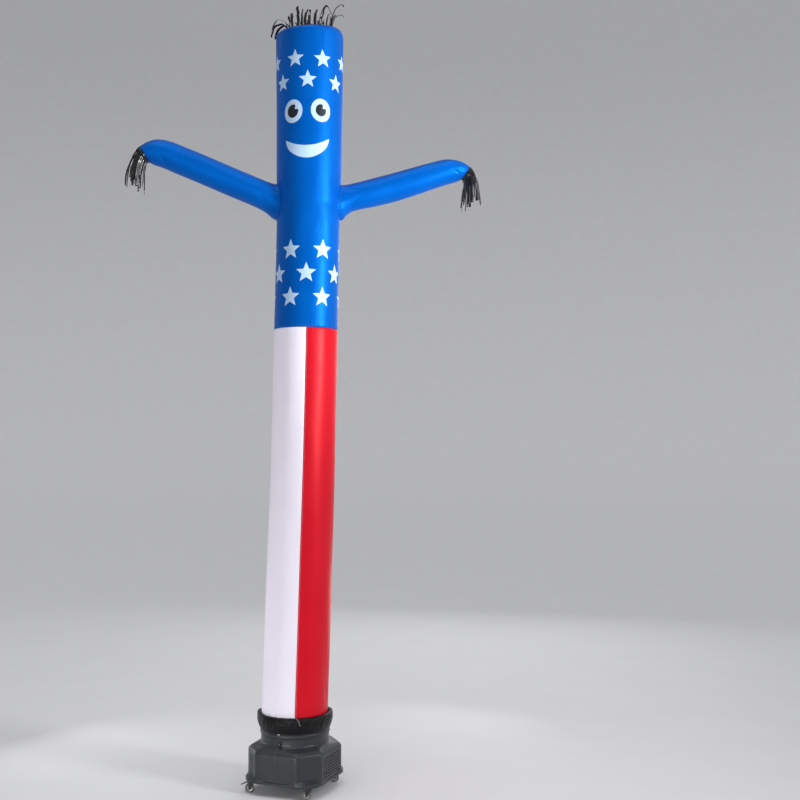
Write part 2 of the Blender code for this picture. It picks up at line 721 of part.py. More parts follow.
def housing_half(side, group, cutters):
    """One moulded half: cut-corner body, sloping shoulder, neck, lip, band seat and rim."""
    first = 0.0 if side == "right" else -180.0
    angles = half_angles(first)
    angles[0] += GAP / 2 / RIM_RADIUS
    angles[-1] -= GAP / 2 / RIM_RADIUS
    count = len(HOUSING_SECTION)
    points = []
    for angle in angles:
        for row in HOUSING_SECTION:
            corner = HOUSING_CUT * row["size"] / HOUSING_HALF
            square = cut_square_radius(angle, row["size"], corner)
            radius = square * (1 - row["round"]) + row["size"] * row["round"]
            points.append(blower_point(radius, angle, row["height"]))
    faces = []
    for c in range(len(angles) - 1):
        for k in range(count):
            m = (k + 1) % count
            faces.append((c * count + k, (c + 1) * count + k, (c + 1) * count + m, c * count + m))
    faces.append(tuple(range(count)))
    last = (len(angles) - 1) * count
    faces.append(tuple(last + k for k in reversed(range(count))))
    shell = mesh_object("housing_" + side, points, faces, "moulded_grey", group)
    for block in SLOT_BLOCKS:
        if block["half"] == side:
            cut(shell, slot_cutter(block, cutters))
    return shell


def slot_cutter(block, cutters):
    """All the air slots of one face, as one cutter of boxes through the wall."""
    turn = BLOWER_YAW + math.radians(block["face_deg"])
    corner_face = block["face_deg"] % 90 != 0
    distance = HOUSING_HALF
    if corner_face:
        distance = (2 * HOUSING_HALF - HOUSING_CUT) / math.sqrt(2)
    work = bmesh.new()
    for column in range(block["columns"]):
        for row in range(block["rows"]):
            across = (column - (block["columns"] - 1) / 2) * SLOT_PITCH_LONG
            height = block["middle_z"] + (row - (block["rows"] - 1) / 2) * SLOT_PITCH_HIGH
            made = bmesh.ops.create_cube(work, size=1.0)["verts"]
            bmesh.ops.scale(work, vec=(SLOT_LONG, 0.03, SLOT_HIGH), verts=made)
            bmesh.ops.translate(work, vec=(across, -distance, height), verts=made)
    name = "cut_slots_{}_{}".format(block["half"], "corner" if corner_face else "side")
    mesh = bpy.data.meshes.new(name)
    work.to_mesh(mesh)
    work.free()
    made = bpy.data.objects.new(name, mesh)
    made.location = (BLOWER_X, 0.0, 0.0)
    made.rotation_euler = (0.0, 0.0, turn)
    cutters.objects.link(made)
    return as_cutter(made)


def base_tray(group):
    """The floor of the housing, a rounded square whose corners rise as ramped feet."""
    angles = half_angles(0.0)[:-1] + half_angles(180.0)[:-1]
    rings = [[], [], [], []]
    for angle in angles:
        quarter_angle = (math.degrees(angle) % 90) - 45
        corner_share = max(0.0, 1 - (abs(quarter_angle) / 30) ** 2)
        edge = rounded_square_radius(angle, BASE_HALF, BASE_CORNER_RADIUS)
        wall = cut_square_radius(angle, HOUSING_HALF + 0.0006, HOUSING_CUT)
        wall = min(wall, edge - 0.0012)
        edge_top = BASE_TOP + (FOOT_TIP_TOP - BASE_TOP) * corner_share
        wall_top = BASE_TOP + (FOOT_WALL_TOP - BASE_TOP) * corner_share
        rings[0].append(blower_point(edge, angle, BASE_UNDERSIDE))
        rings[1].append(blower_point(edge, angle, edge_top))
        rings[2].append(blower_point(wall, angle, wall_top + 0.0001))
        rings[3].append(blower_point(wall, angle, BASE_TOP))
    return closed_loft("base_tray", rings, "moulded_grey", group)


def outlet_band(group):
    """The smooth black band round the outlet, open by a hair at the housing's front seam."""
    turns = half_angles(0.0)[:-1] + half_angles(180.0)
    turns[0] += GAP / BAND_RADIUS
    turns[-1] -= GAP / BAND_RADIUS
    inside = BAND_INSIDE_RADIUS
    profile = ((inside, BAND_BOTTOM), (BAND_RADIUS, BAND_BOTTOM), (BAND_RADIUS, BAND_TOP), (inside, BAND_TOP))
    points = []
    for angle in turns:
        points += [blower_point(r, angle, h) for r, h in profile]
    faces = []
    for c in range(len(turns) - 1):
        for k in range(4):
            m = (k + 1) % 4
            faces.append((c * 4 + k, c * 4 + 4 + k, c * 4 + 4 + m, c * 4 + m))
    faces += [(0, 1, 2, 3), tuple(len(points) - 1 - k for k in range(4))]
    return mesh_object("outlet_band", points, faces, "gloss_black", group)


def band_clip(name, height, group):
    """A small pale clip across the band's joint."""
    place = round_point(BLOWER_X, BAND_RADIUS + GAP + 0.0006, BLOWER_YAW, height)
    return box(name, (0.010, 0.0012, 0.0030), place, "pale_clip", group, turn=BLOWER_YAW)


def neck_knob(group):
    """The black turn knob on the neck, beside the front seam."""
    out = Vector((math.sin(KNOB_ANGLE), -math.cos(KNOB_ANGLE), 0.0))
    turn = out.to_track_quat("Z", "Y").to_matrix().to_4x4()
    length = 0.014
    centre = Vector((BLOWER_X, 0.0, KNOB_HEIGHT)) + out * (NECK_RADIUS + GAP + length / 2)
    matrix = Matrix.Translation(centre) @ turn
    return rod("neck_knob", 0.0062, length, 16, "gloss_black", group, matrix, top_radius=0.0055)


def guard_ring(name, radius, group):
    half = GUARD_WIRE / 2
    profile = (
        (radius - half, GUARD_BOTTOM),
        (radius + half, GUARD_BOTTOM),
        (radius + half, GUARD_BOTTOM + GUARD_WIRE),
        (radius - half, GUARD_BOTTOM + GUARD_WIRE),
    )
    return turned(name, profile, GUARD_SIDES, None, group, centre=(BLOWER_X, 0.0))


def outlet_guard(group, cutters):
    """The flat finger guard: rings on six spokes round a plain disc."""
    middle = Vector((BLOWER_X, 0.0, GUARD_BOTTOM + GUARD_WIRE / 2))
    place = Matrix.Translation(middle)
    guard = rod("outlet_guard", GUARD_HUB_RADIUS, GUARD_WIRE, 24, "black_steel", group, place)
    outer = GUARD_RADIUS - GUARD_WIRE / 2
    for index in range(GUARD_SPOKES // 2):
        turn = math.pi * index / (GUARD_SPOKES // 2)
        size = (2 * outer, 0.005, GUARD_WIRE * 0.8)
        spoke = as_cutter(box("join_spoke_%d" % index, size, middle, None, cutters, turn=turn))
        cut(guard, spoke, "UNION")
    pitch = (outer - GUARD_HUB_RADIUS) / GUARD_RINGS
    for index in range(1, GUARD_RINGS + 1):
        radius = GUARD_HUB_RADIUS + pitch * index
        ring = as_cutter(guard_ring("join_ring_%d" % index, radius, cutters))
        cut(guard, ring, "UNION")
    return guard


# --- casters -----------------------------------------------------------------------------------


def along_y(centre):
    """A matrix that lays a rod's own axis along Y."""
    return Matrix.Translation(centre) @ Matrix.Rotation(math.radians(90.0), 4, "X")


def plate_outline(name, outline, thickness, y_middle, finish, group):
    """A flat piece from an (x, z) outline, standing in the XZ plane."""
    count = len(outline)
    points = [Vector((x, y_middle - thickness / 2, z)) for x, z in outline]
    points += [Vector((x, y_middle + thickness / 2, z)) for x, z in outline]
    faces = [tuple(range(count)), tuple(count + k for k in reversed(range(count)))]
    for k in range(count):
        m = (k + 1) % count
        faces.append((k, m, count + m, count + k))
    return mesh_object(name, points, faces, finish, group)


def caster_fork(name, place, group, cutters):
    """Swivel crown, two tapered legs and the axle between them."""
    crown_top = BASE_UNDERSIDE - 2 * GAP - PLATE_THICK
    crown_middle = Vector((0.0, 0.0, crown_top - CROWN_THICK / 2))
    fork = rod(name, CROWN_RADIUS, CROWN_THICK, 20, "black_steel", group, Matrix.Translation(crown_middle))
    top = crown_top - CROWN_THICK * 0.4
    low = AXLE_HEIGHT - 0.0055
    outline = (
        (0.0115, top),
        (-0.0125, top),
        (-CASTER_TRAIL - 0.0062, AXLE_HEIGHT),
        (-CASTER_TRAIL - 0.0030, low),
        (-CASTER_TRAIL + 0.0040, low),
        (-CASTER_TRAIL + 0.0085, AXLE_HEIGHT + 0.004),
    )
    middle = WHEEL_WIDTH / 2 + 0.0010 + FORK_LEG / 2
    for side in (-1, 1):
        leg = plate_outline("join_leg_{}_{}".format(name, side), outline, FORK_LEG, side * middle, None, cutters)
        leg.location = place
        cut(fork, as_cutter(leg), "UNION")
    length = 2 * middle + FORK_LEG + 0.003
    axle = rod("join_axle_" + name, AXLE_RADIUS, length, 12, None, cutters, Matrix())
    axle.matrix_world = along_y(Vector(place) + Vector((-CASTER_TRAIL, 0.0, AXLE_HEIGHT)))
    cut(fork, as_cutter(axle), "UNION")
    fork.matrix_world = Matrix.Translation(Vector(place) + crown_middle)
    return fork


def wheel_ring(name, outer, inner, width, chamfer, finish, group, centre):
    """A ring turned about the axle, with chamfered outer edges and a flat downwards."""
    half = width / 2
    profile = (
        (inner, -half),
        (outer - chamfer, -half),
        (outer, -half + chamfer),
        (outer, half - chamfer),
        (outer - chamfer, half),
        (inner, half),
    )
    made = turned(name, profile, WHEEL_SIDES, finish, group, start=math.pi / WHEEL_SIDES)
    made.matrix_world = along_y(centre)
    return made


def caster(index, name, group, cutters):
    """A twin-leg swivel caster: plate on the base, fork, tyre and bright hub."""
    turn = BLOWER_YAW + math.radians(45.0 + 90.0 * index)
    place = round_point(BLOWER_X, CASTER_CIRCLE, turn, 0.0)
    plate_middle = place + Vector((0.0, 0.0, BASE_UNDERSIDE - GAP - PLATE_THICK / 2))
    size = (PLATE_SIDE, PLATE_SIDE, PLATE_THICK)
    box("caster_plate_" + name, size, plate_middle, "black_steel", group, turn=BLOWER_YAW)
    caster_fork("caster_fork_" + name, place, group, cutters)
    centre = place + Vector((-CASTER_TRAIL, 0.0, AXLE_HEIGHT))
    wheel_ring(
        "caster_tyre_" + name, WHEEL_RADIUS, HUB_RADIUS + GAP, WHEEL_WIDTH, 0.003, "grey_tyre", group, centre
    )
    wheel_ring(
        "caster_hub_" + name, HUB_RADIUS, AXLE_RADIUS + GAP, WHEEL_WIDTH - 0.001, 0.001, "bright_steel", group, centre
    )
    return place


def brake_pedal(place, group):
    """The brake lever of the left caster: it reaches over the tyre and slopes down outside it."""
    level = 0.0445
    half = PEDAL_THICK / 2
    outline = (
        (0.000, level - half),
        (0.000, level + half),
        (-0.0265, level + half),
        (-0.0475, level - 0.0095 + half),
        (-0.0475, level - 0.0095 - half),
        (-0.0270, level - half),
    )
    pedal = plate_outline("brake_pedal", outline, PEDAL_WIDTH, 0.0, "black_steel", group)
    pedal.location = place
    return pedal


# --- the whole ---------------------------------------------------------------------------------


def build():
    clear_scene()
    parts = new_collection("air_dancer")
    cutters = new_collection("cutters")
    upper_sleeve(parts, cutters)
    arm_sleeve("left", ARM_LEFT, parts, cutters)
    arm_sleeve("right", ARM_RIGHT, parts, cutters)
    leg_panel("leg_panel_white", "white_nylon", -math.pi, 0.0, parts)
    leg_panel("leg_panel_red", "red_nylon", 0.0, math.pi, parts)
    collar(parts)
    collar_tie(parts)
    hair(parts)
    tassel("left", ARM_LEFT, parts)
    tassel("right", ARM_RIGHT, parts)
    housing_half("left", parts, cutters)
    housing_half("right", parts, cutters)
    base_tray(parts)
    outlet_band(parts)
    band_clip("band_clip_lower", BAND_BOTTOM + 0.0018, parts)
    neck_knob(parts)
    outlet_guard(parts, cutters)
    for index, name in enumerate(CASTER_NAMES):
        place = caster(index, name, parts, cutters)
        if name == "left":
            brake_pedal(place, parts)


build()
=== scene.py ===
"""Inflatable air dancer on its floor blower: the looks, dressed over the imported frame.

Metres, +Z up, the face looks along -Y. Angles round the tube are measured from the front (-Y),
positive towards +X. Cloth maps are in metres too: x round the piece, y along it.
"""

import logging
import math
import random
from dataclasses import dataclass
from enum import Enum
from typing import Callable, Sequence

import bmesh
import bpy
import numpy as np
from mathutils import Matrix, Vector


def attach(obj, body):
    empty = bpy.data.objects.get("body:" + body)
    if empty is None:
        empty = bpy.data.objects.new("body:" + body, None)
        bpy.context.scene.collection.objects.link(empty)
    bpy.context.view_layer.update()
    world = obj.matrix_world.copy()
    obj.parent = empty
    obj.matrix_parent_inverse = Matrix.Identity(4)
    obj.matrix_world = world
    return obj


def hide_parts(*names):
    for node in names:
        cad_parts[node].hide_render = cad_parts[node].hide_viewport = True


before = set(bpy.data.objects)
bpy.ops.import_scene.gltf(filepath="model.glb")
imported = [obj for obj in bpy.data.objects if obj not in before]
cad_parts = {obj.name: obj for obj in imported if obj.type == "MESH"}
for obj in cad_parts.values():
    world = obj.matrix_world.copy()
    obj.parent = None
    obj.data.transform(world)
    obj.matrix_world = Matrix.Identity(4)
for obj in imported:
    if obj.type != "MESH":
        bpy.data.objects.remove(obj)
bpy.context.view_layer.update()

log = logging.getLogger("air_dancer")

BODY = "dancer_on_blower"
BLOWER_X = -0.043
BLOWER_YAW = math.radians(-27.0)
CLOTH = 0.001
FOIL_THICK = 0.0004
TURN = 2.0 * math.pi
CLOTH_MAP = "cloth"
TUBE_RADIUS = 0.145
THREAD_PITCH = 0.0011
HOUSING_HALF = 0.180
HOUSING_CUT = 0.080

Piece = bpy.types.Object
Socket = bpy.types.NodeSocket
Colour = tuple[float, float, float]
Part = tuple[np.ndarray, list]
Line = Callable[[np.ndarray, float], np.ndarray]


# --- numbers and curves ------------------------------------------------------------------------


class SmoothCurve:
    """A smooth line through values at given keys."""

    def __init__(self, keys: Sequence[float], values: Sequence[float]) -> None:
        """Keeps the stations and works out a slope at each.

        Args:
            keys: Rising places of the stations.
            values: The value at each station.
        """
        self.keys = np.asarray(keys, float)
        self.values = np.asarray(values, float)
        before = np.maximum(np.arange(len(self.keys)) - 1, 0)
        after = np.minimum(np.arange(len(self.keys)) + 1, len(self.keys) - 1)
        run = self.keys[after] - self.keys[before]
        self.slopes = (self.values[after] - self.values[before]) / run

    def __call__(self, at: float | np.ndarray) -> np.ndarray:
        """The value at each place.

        Args:
            at: Places along the keys; they are held to the first and last.

        Returns:
            The values, in the shape of the places.
        """
        place = np.clip(np.asarray(at, float), self.keys[0], self.keys[-1])
        i = np.clip(np.searchsorted(self.keys, place, side="right") - 1, 0, len(self.keys) - 2)
        span = self.keys[i + 1] - self.keys[i]
        t = (place - self.keys[i]) / span
        first = (1 + 2 * t) * (1 - t) ** 2 * self.values[i]
        first = first + t * (1 - t) ** 2 * span * self.slopes[i]
        second = t * t * (3 - 2 * t) * self.values[i + 1]
        second = second + t * t * (t - 1) * span * self.slopes[i + 1]
        return first + second


def ruffle(along: np.ndarray, pitch: float, seed: int) -> np.ndarray:
    """An uneven wave, as cloth drawn up on a thread makes.

    Args:
        along: Places along the thread, in metres.
        pitch: The usual distance between crests, in metres.
        seed: Picks the phases.

    Returns:
        Heights from about -1 to 1.
    """
    draw = random.Random(seed)
    total = np.zeros_like(along)
    for share, size in ((1.0, 0.50), (0.62, 0.32), (1.71, 0.26), (0.37, 0.22)):
        total = total + size * np.sin(TURN * along * share / pitch + draw.uniform(0, TURN))
    return total


def bell(distance: np.ndarray, width: float) -> np.ndarray:
    """A soft hump of height 1 at distance 0."""
    return np.exp(-((distance / width) ** 2))


def turned_delta(angle: np.ndarray, middle: float) -> np.ndarray:
    """The angle from a middle, brought to the half turn on either side of it."""
    return (angle - middle + math.pi) % TURN - math.pi


def paired(first: np.ndarray, second: np.ndarray) -> np.ndarray:
    """Pairs of values, such as lengths round and along a piece for its cloth map."""
    return np.stack(np.broadcast_arrays(first, second), -1)


def round_axis(
    middle: float | np.ndarray, radius: np.ndarray, angle: np.ndarray, height: np.ndarray
) -> np.ndarray:
    """Points round an upright axis at y = 0.

    Args:
        middle: The axis's x.
        radius: Distances from it.
        angle: Angles round it, from -Y towards +X.
        height: Heights.

    Returns:
        The points, with x, y and z last.
    """
    across = middle + radius * np.sin(angle)
    return np.stack(np.broadcast_arrays(across, -radius * np.cos(angle), height), -1)


# --- mesh helpers ------------------------------------------------------------------------------


def placed(name: str, data: bpy.types.ID) -> Piece:
    """A new object in the scene."""
    made = bpy.data.objects.new(name, data)
    bpy.context.scene.collection.objects.link(made)
    return made


def mesh_object(
    name: str,
    points: np.ndarray,
    faces: Sequence[Sequence[int]],
    finish: "Finish",
    map_points: np.ndarray | None = None,
    smooth: bool = True,
    sharp_deg: float = 50.0,
) -> Piece:
    """Makes a mesh object with one finish.

    Args:
        name: The piece's name.
        points: Its points, in the row frame.
        faces: Its faces, as indices of points.
        finish: Its finish.
        map_points: A cloth map place for each corner of each face, in order.
        smooth: Whether it is shaded smooth.
        sharp_deg: Edges that bend more than this stay sharp.

    Returns:
        The object, linked to the scene.
    """
    mesh = bpy.data.meshes.new(name)
    mesh.from_pydata([tuple(p) for p in np.asarray(points, float)], [], [tuple(f) for f in faces])
    if map_points is not None:
        layer = mesh.uv_layers.new(name=CLOTH_MAP)
        layer.uv.foreach_set("vector", np.asarray(map_points, np.float32).ravel())
    if smooth:
        mesh.shade_smooth()
        mesh.set_sharp_from_angle(angle=math.radians(sharp_deg))
    mesh.materials.append(finish.material())
    return placed(name, mesh)


def grid_object(
    name: str,
    grid: np.ndarray,
    flat: np.ndarray,
    finish: "Finish",
    wrap: bool = False,
    flip: bool = False,
) -> Piece:
    """Makes a surface from rows of points.

    Args:
        name: The piece's name.
        grid: Points by row and column. With wrap, the last column repeats the first.
        flat: Cloth map places by row and column.
        finish: Its finish.
        wrap: Whether the last column is joined to the first.
        flip: Turns the faces over.

    Returns:
        The object.
    """
    rows, columns = grid.shape[:2]
    kept = columns - 1 if wrap else columns
    r, c = np.meshgrid(np.arange(rows - 1), np.arange(columns - 1), indexing="ij")
    r, c = r.ravel(), c.ravel()
    corners = [(r, c), (r, c + 1), (r + 1, c + 1), (r + 1, c)]
    if flip:
        corners.reverse()
    faces = np.stack([a * kept + (b % kept if wrap else b) for a, b in corners], 1)
    maps = np.stack([flat[a, b] for a, b in corners], 1)
    return mesh_object(name, grid[:, :kept].reshape(-1, 3), faces.tolist(), finish, maps.reshape(-1, 2))


def thickened(piece: Piece, thickness: float = CLOTH) -> Piece:
    """Gives a surface its thickness behind its faces."""
    step = piece.modifiers.new("Thickness", "SOLIDIFY")
    step.thickness = thickness
    step.offset = -1.0
    step.use_even_offset = False
    return piece


def applied(piece: Piece) -> Piece:
    """Applies every modifier of a piece to its mesh."""
    graph = bpy.context.evaluated_depsgraph_get()
    made = bpy.data.meshes.new_from_object(piece.evaluated_get(graph), depsgraph=graph)
    piece.modifiers.clear()
    old = piece.data
    piece.data = made
    bpy.data.meshes.remove(old)
    return piece


def cut(piece: Piece, cutters: Sequence[Piece]) -> None:
    """Cuts closed pieces out of another, then removes them."""
    for cutter in cutters:
        step = piece.modifiers.new("Cut", "BOOLEAN")
        step.operation, step.solver, step.object = "DIFFERENCE", "EXACT", cutter
    applied(piece)
    for cutter in cutters:
        bpy.data.objects.remove(cutter)


def facing_out(piece: Piece) -> Piece:
    """Turns every face of a closed piece outwards."""
    work = bmesh.new()
    work.from_mesh(piece.data)
    bmesh.ops.recalc_face_normals(work, faces=work.faces)
    work.to_mesh(piece.data)
    work.free()
    return piece


def quads(rows: int, count: int, start: int = 0, flip: bool = False, closed: bool = True) -> list[tuple]:
    """The four-sided faces between rows of points.

    Args:
        rows: How many rows there are.
        count: How many points each row has.
        start: The index of the first point.
        flip: Turns the faces over.
        closed: Whether each row's last point is joined to its first.

    Returns:
        The faces, row by row.
    """
    faces = []
    for r in range(rows - 1):
        near, far = start + r * count, start + (r + 1) * count
        for c in range(count if closed else count - 1):
            d = (c + 1) % count
            face = (near + c, near + d, far + d, far + c)
            faces.append((near + c, far + c, far + d, near + d) if flip else face)
    return faces


def caps(rows: int, count: int, flip: bool = False) -> list[tuple]:
    """The two end faces of rows of points; flip turns them over."""
    low, high = range(count), range((rows - 1) * count, rows * count)
    return [tuple(low), tuple(reversed(high))] if flip else [tuple(reversed(low)), tuple(high)]


def joined(name: str, parts: Sequence[Part], finish: "Finish", smooth: bool = True) -> Piece:
    """One object from several point and face lists."""
    points: list = []
    faces: list = []
    for own_points, own_faces in parts:
        start = len(points)
        points.extend(np.asarray(own_points).tolist())
        faces.extend([tuple(start + i for i in f) for f in own_faces])
    return mesh_object(name, np.array(points), faces, finish, smooth=smooth)


# --- finishes ----------------------------------------------------------------------------------


class NodeBench:
    """Places and links the nodes of one material."""

    def __init__(self, name: str) -> None:
        """Starts an empty material with its shader and output."""
        self.made = bpy.data.materials.new(name)
        self.made.use_nodes = True
        self.tree = self.made.node_tree
        self.shader = self.tree.nodes["Principled BSDF"]

    def node(self, kind: str, **settings: object) -> bpy.types.Node:
        """Adds a node and sets its own properties."""
        made = self.tree.nodes.new("ShaderNode" + kind)
        for key, value in settings.items():
            setattr(made, key, value)
        return made

    def link(self, start: Socket, end: Socket) -> None:
        """Links one socket to another."""
        self.tree.links.new(start, end)

    def feed(self, socket: Socket, value: object) -> None:
        """Links a socket to a node's result, or sets it to a number or colour."""
        if isinstance(value, Socket):
            self.link(value, socket)
        else:
            socket.default_value = value

    def give(self, name: str, value: object) -> None:
        """Feeds one of the shader's sockets."""
        self.feed(self.shader.inputs[name], value)

    def math(self, operation: str, first: object, second: object = 0.0) -> Socket:
        """A math node on sockets or numbers, and its result."""
        made = self.node("Math", operation=operation)
        self.feed(made.inputs[0], first)
        self.feed(made.inputs[1], second)
        return made.outputs[0]

    def place(self, scale: Sequence[float] = (1.0, 1.0, 1.0)) -> Socket:
        """Object coordinates, scaled."""
        where = self.node("TexCoord")
        mapping = self.node("Mapping")
        mapping.inputs["Scale"].default_value = scale
        self.link(where.outputs["Object"], mapping.inputs["Vector"])
        return mapping.outputs["Vector"]

    def cloth_place(self) -> Socket:
        """The cloth map's coordinates, in metres."""
        return self.node("UVMap", uv_map=CLOTH_MAP).outputs["UV"]

    def noise(self, place: Socket, scale: float, detail: float = 2.0, twist: float = 0.0) -> Socket:
        """A noise value from 0 to 1."""
        made = self.node("TexNoise")
        made.inputs["Scale"].default_value = scale
        made.inputs["Detail"].default_value = detail
        made.inputs["Distortion"].default_value = twist
        self.link(place, made.inputs["Vector"])
        return made.outputs["Fac"]

    def spread(self, value: Socket, low: float, high: float) -> Socket:
        """Brings a value of 0.3 to 0.7 to a range."""
        made = self.node("MapRange")
        made.inputs["From Min"].default_value = 0.3
        made.inputs["From Max"].default_value = 0.7
        made.inputs["To Min"].default_value = low
        made.inputs["To Max"].default_value = high
        self.link(value, made.inputs["Value"])
        return made.outputs["Result"]

    def blend(self, share: Socket, first: Sequence[float], second: Sequence[float]) -> Socket:
        """A colour between two colours."""
        made = self.node("Mix", data_type="RGBA")
        self.link(share, made.inputs["Factor"])
        made.inputs["A"].default_value = (*first, 1.0)
        made.inputs["B"].default_value = (*second, 1.0)
        return made.outputs["Result"]

    def bump(self, height: Socket, depth: float, strength: float = 1.0, over: Socket | None = None) -> Socket:
        """A bump of a real depth in metres, over another bump if one is given."""
        made = self.node("Bump")
        made.inputs["Strength"].default_value = strength
        made.inputs["Distance"].default_value = depth
        self.link(height, made.inputs["Height"])
        if over is not None:
            self.link(over, made.inputs["Normal"])
        return made.outputs["Normal"]

    def wave(self, place: Socket, axis: str, pitch: float) -> Socket:
        """A sine wave along one axis of a map in metres, from 0 to 1."""
        made = self.node("TexWave", wave_type="BANDS", bands_direction=axis, wave_profile="SIN")
        made.inputs["Scale"].default_value = TURN / 20.0 / pitch
        self.link(place, made.inputs["Vector"])
        return made.outputs["Fac"]

    def weave(self, place: Socket) -> Socket:
        """The rise and fall of single threads, from 0 to 2."""
        return self.math("ADD", self.wave(place, "X", THREAD_PITCH), self.wave(place, "Y", THREAD_PITCH))


@dataclass(frozen=True)
class Finish:
    """A plain finish, and the base of the others.

    Attributes:
        name: The material's name.
        slot: The record's material slot it belongs to.
        colour: The usual colour.
        second: The colour where it varies.
        rough: The usual roughness.
        metal: How metallic it is.
    """

    name: str
    slot: str
    colour: Colour
    second: Colour
    rough: float = 0.5
    metal: float = 0.0

    def material(self) -> bpy.types.Material:
        """The Blender material, made once."""
        found = bpy.data.materials.get(self.name)
        return found if found else self.make()

    def make(self) -> bpy.types.Material:
        """Builds the material's nodes."""
        bench = NodeBench(self.name)
        bench.give("Metallic", self.metal)
        self.dress(bench)
        return bench.made

    def dress(self, bench: NodeBench) -> None:
        """Adds the nodes of this finish. The others replace it."""
        raise NotImplementedError

    def tint(self, bench: NodeBench, value: Socket) -> None:
        """Colours the shader between the two colours by a noise value."""
        share = bench.spread(value, 0.0, 1.0)
        bench.give("Base Color", bench.blend(share, self.colour, self.second))

    def varied(self, bench: NodeBench, value: Socket, less: float, more: float) -> Socket:
        """The usual roughness, made less or more by a noise value."""
        return bench.spread(value, self.rough - less, self.rough + more)


@dataclass(frozen=True)
class NylonFinish(Finish):
    """Coated ripstop nylon: satin, a little sheen, a faint grid of thicker threads.

    Attributes:
        sheen: Weight of the sheen.
        grid: Pitch of the ripstop grid.
        crumple: Depth of the small creases the cloth keeps from being packed.
        gloss: How strongly it mirrors light.
        painted_glow: Painted light: an emission strength standing in for the light inside the tube that comes
            through the cloth.
        shine: The colour its dye gives to what it mirrors.
    """

    sheen: float = 0.01
    grid: float = 0.0060
    crumple: float = 0.0012
    gloss: float = 0.14
    painted_glow: float = 0.0
    shine: Colour = (1.0, 1.0, 1.0)

    def dress(self, bench: NodeBench) -> None:
        """Weave, ripstop grid, packing creases and sheen."""
        cloth = bench.cloth_place()
        room = bench.place()
        soft = bench.noise(room, 5.0, 3.0, 0.4)
        self.tint(bench, soft)
        fine = bench.spread(bench.noise(room, 60.0, 2.0), -0.03, 0.03)
        bench.give("Roughness", bench.math("ADD", fine, self.varied(bench, soft, 0.04, 0.05)))
        across = bench.math("POWER", bench.wave(cloth, "X", self.grid), 14.0)
        along = bench.math("POWER", bench.wave(cloth, "Y", self.grid), 14.0)
        weave = bench.weave(cloth)
        threads = bench.math("ADD", bench.math("MAXIMUM", across, along), bench.math("MULTIPLY", weave, 0.18))
        relief = bench.bump(threads, 0.00012, 0.55)
        crumple = bench.noise(bench.place((1.0, 1.0, 0.42)), 9.0, 4.0, 0.9)
        bench.give("Normal", bench.bump(crumple, self.crumple, 0.55, relief))
        bench.give("Sheen Weight", self.sheen)
        bench.give("Sheen Roughness", 0.35)
        bench.give("Specular IOR Level", self.gloss)
        bench.give("Specular Tint", (*self.shine, 1.0))
        # Painted light: an even emission stands in for the light that comes through the cloth from inside the
        # tube.
        if self.painted_glow:
            bench.give("Emission Color", (*self.second, 1.0))
            bench.give("Emission Strength", self.painted_glow)


@dataclass(frozen=True)
class InkFinish(Finish):
    """Screen printed ink: a thin smooth film over the weave."""

    def dress(self, bench: NodeBench) -> None:
        """A faint weave under a slightly uneven film."""
        cloth = bench.cloth_place()
        room = bench.place()
        soft = bench.noise(room, 40.0, 3.0)
        self.tint(bench, soft)
        bench.give("Roughness", self.varied(bench, soft, 0.05, 0.05))
        bench.give("Normal", bench.bump(bench.weave(cloth), 0.00003, 0.4))
        bench.give("Specular IOR Level", 0.30)


@dataclass(frozen=True)
class FoilFinish(Finish):
    """Glossy black streamer foil with fine crinkles."""

    def dress(self, bench: NodeBench) -> None:
        """Crinkles under a thin clear coat."""
        room = bench.place()
        crinkle = bench.noise(bench.place((1.0, 1.0, 0.30)), 62.0, 3.0, 0.8)
        self.tint(bench, crinkle)
        bench.give("Roughness", self.varied(bench, bench.noise(room, 24.0), 0.06, 0.10))
        bench.give("Normal", bench.bump(crinkle, 0.0008, 0.5))
        bench.give("Coat Weight", 0.15)
        bench.give("Coat Roughness", 0.12)
        bench.give("Specular IOR Level", 0.5)


@dataclass(frozen=True)
class ThreadFinish(Finish):
    """Twisted sewing thread."""

    def dress(self, bench: NodeBench) -> None:
        """A fine twist along the thread."""
        room = bench.place()
        twist = bench.noise(room, 900.0, 1.0)
        self.tint(bench, twist)
        bench.give("Roughness", self.rough)
        bench.give("Normal", bench.bump(twist, 0.0001, 0.5))
        bench.give("Sheen Weight", 0.2)


@dataclass(frozen=True)
class MouldedFinish(Finish):
    """Injection moulded plastic with a fine spark grain and a little dust.

    Attributes:
        grain: Depth of the grain.
        coat: Weight of the clear gloss, for polished mouldings.
    """

    grain: float = 0.00012
    coat: float = 0.0

    def dress(self, bench: NodeBench) -> None:
        """Grain, flow marks and scuffs."""
        room = bench.place()
        flow = bench.noise(room, 7.0, 3.0, 0.6)
        self.tint(bench, flow)
        grain = bench.noise(room, 1400.0, 2.0)
        scuff = bench.noise(bench.place((1.0, 1.0, 6.0)), 34.0, 4.0, 0.8)
        scuffed = bench.spread(scuff, -0.05, 0.08)
        bench.give("Roughness", bench.math("ADD", scuffed, self.varied(bench, grain, 0.03, 0.03)))
        bench.give("Normal", bench.bump(grain, self.grain, 0.5))
        bench.give("Coat Weight", self.coat)
        bench.give("Coat Roughness", 0.12)


@dataclass(frozen=True)
class SteelFinish(Finish):
    """Pressed or turned steel, painted or plated."""

    def dress(self, bench: NodeBench) -> None:
        """Fine scratches one way and small pits."""
        marks = bench.noise(bench.place((1.0, 1.0, 9.0)), 160.0, 3.0)
        self.tint(bench, bench.noise(bench.place(), 45.0, 4.0, 0.5))
        bench.give("Roughness", self.varied(bench, marks, 0.07, 0.10))
        bench.give("Normal", bench.bump(marks, 0.0001, 0.35))


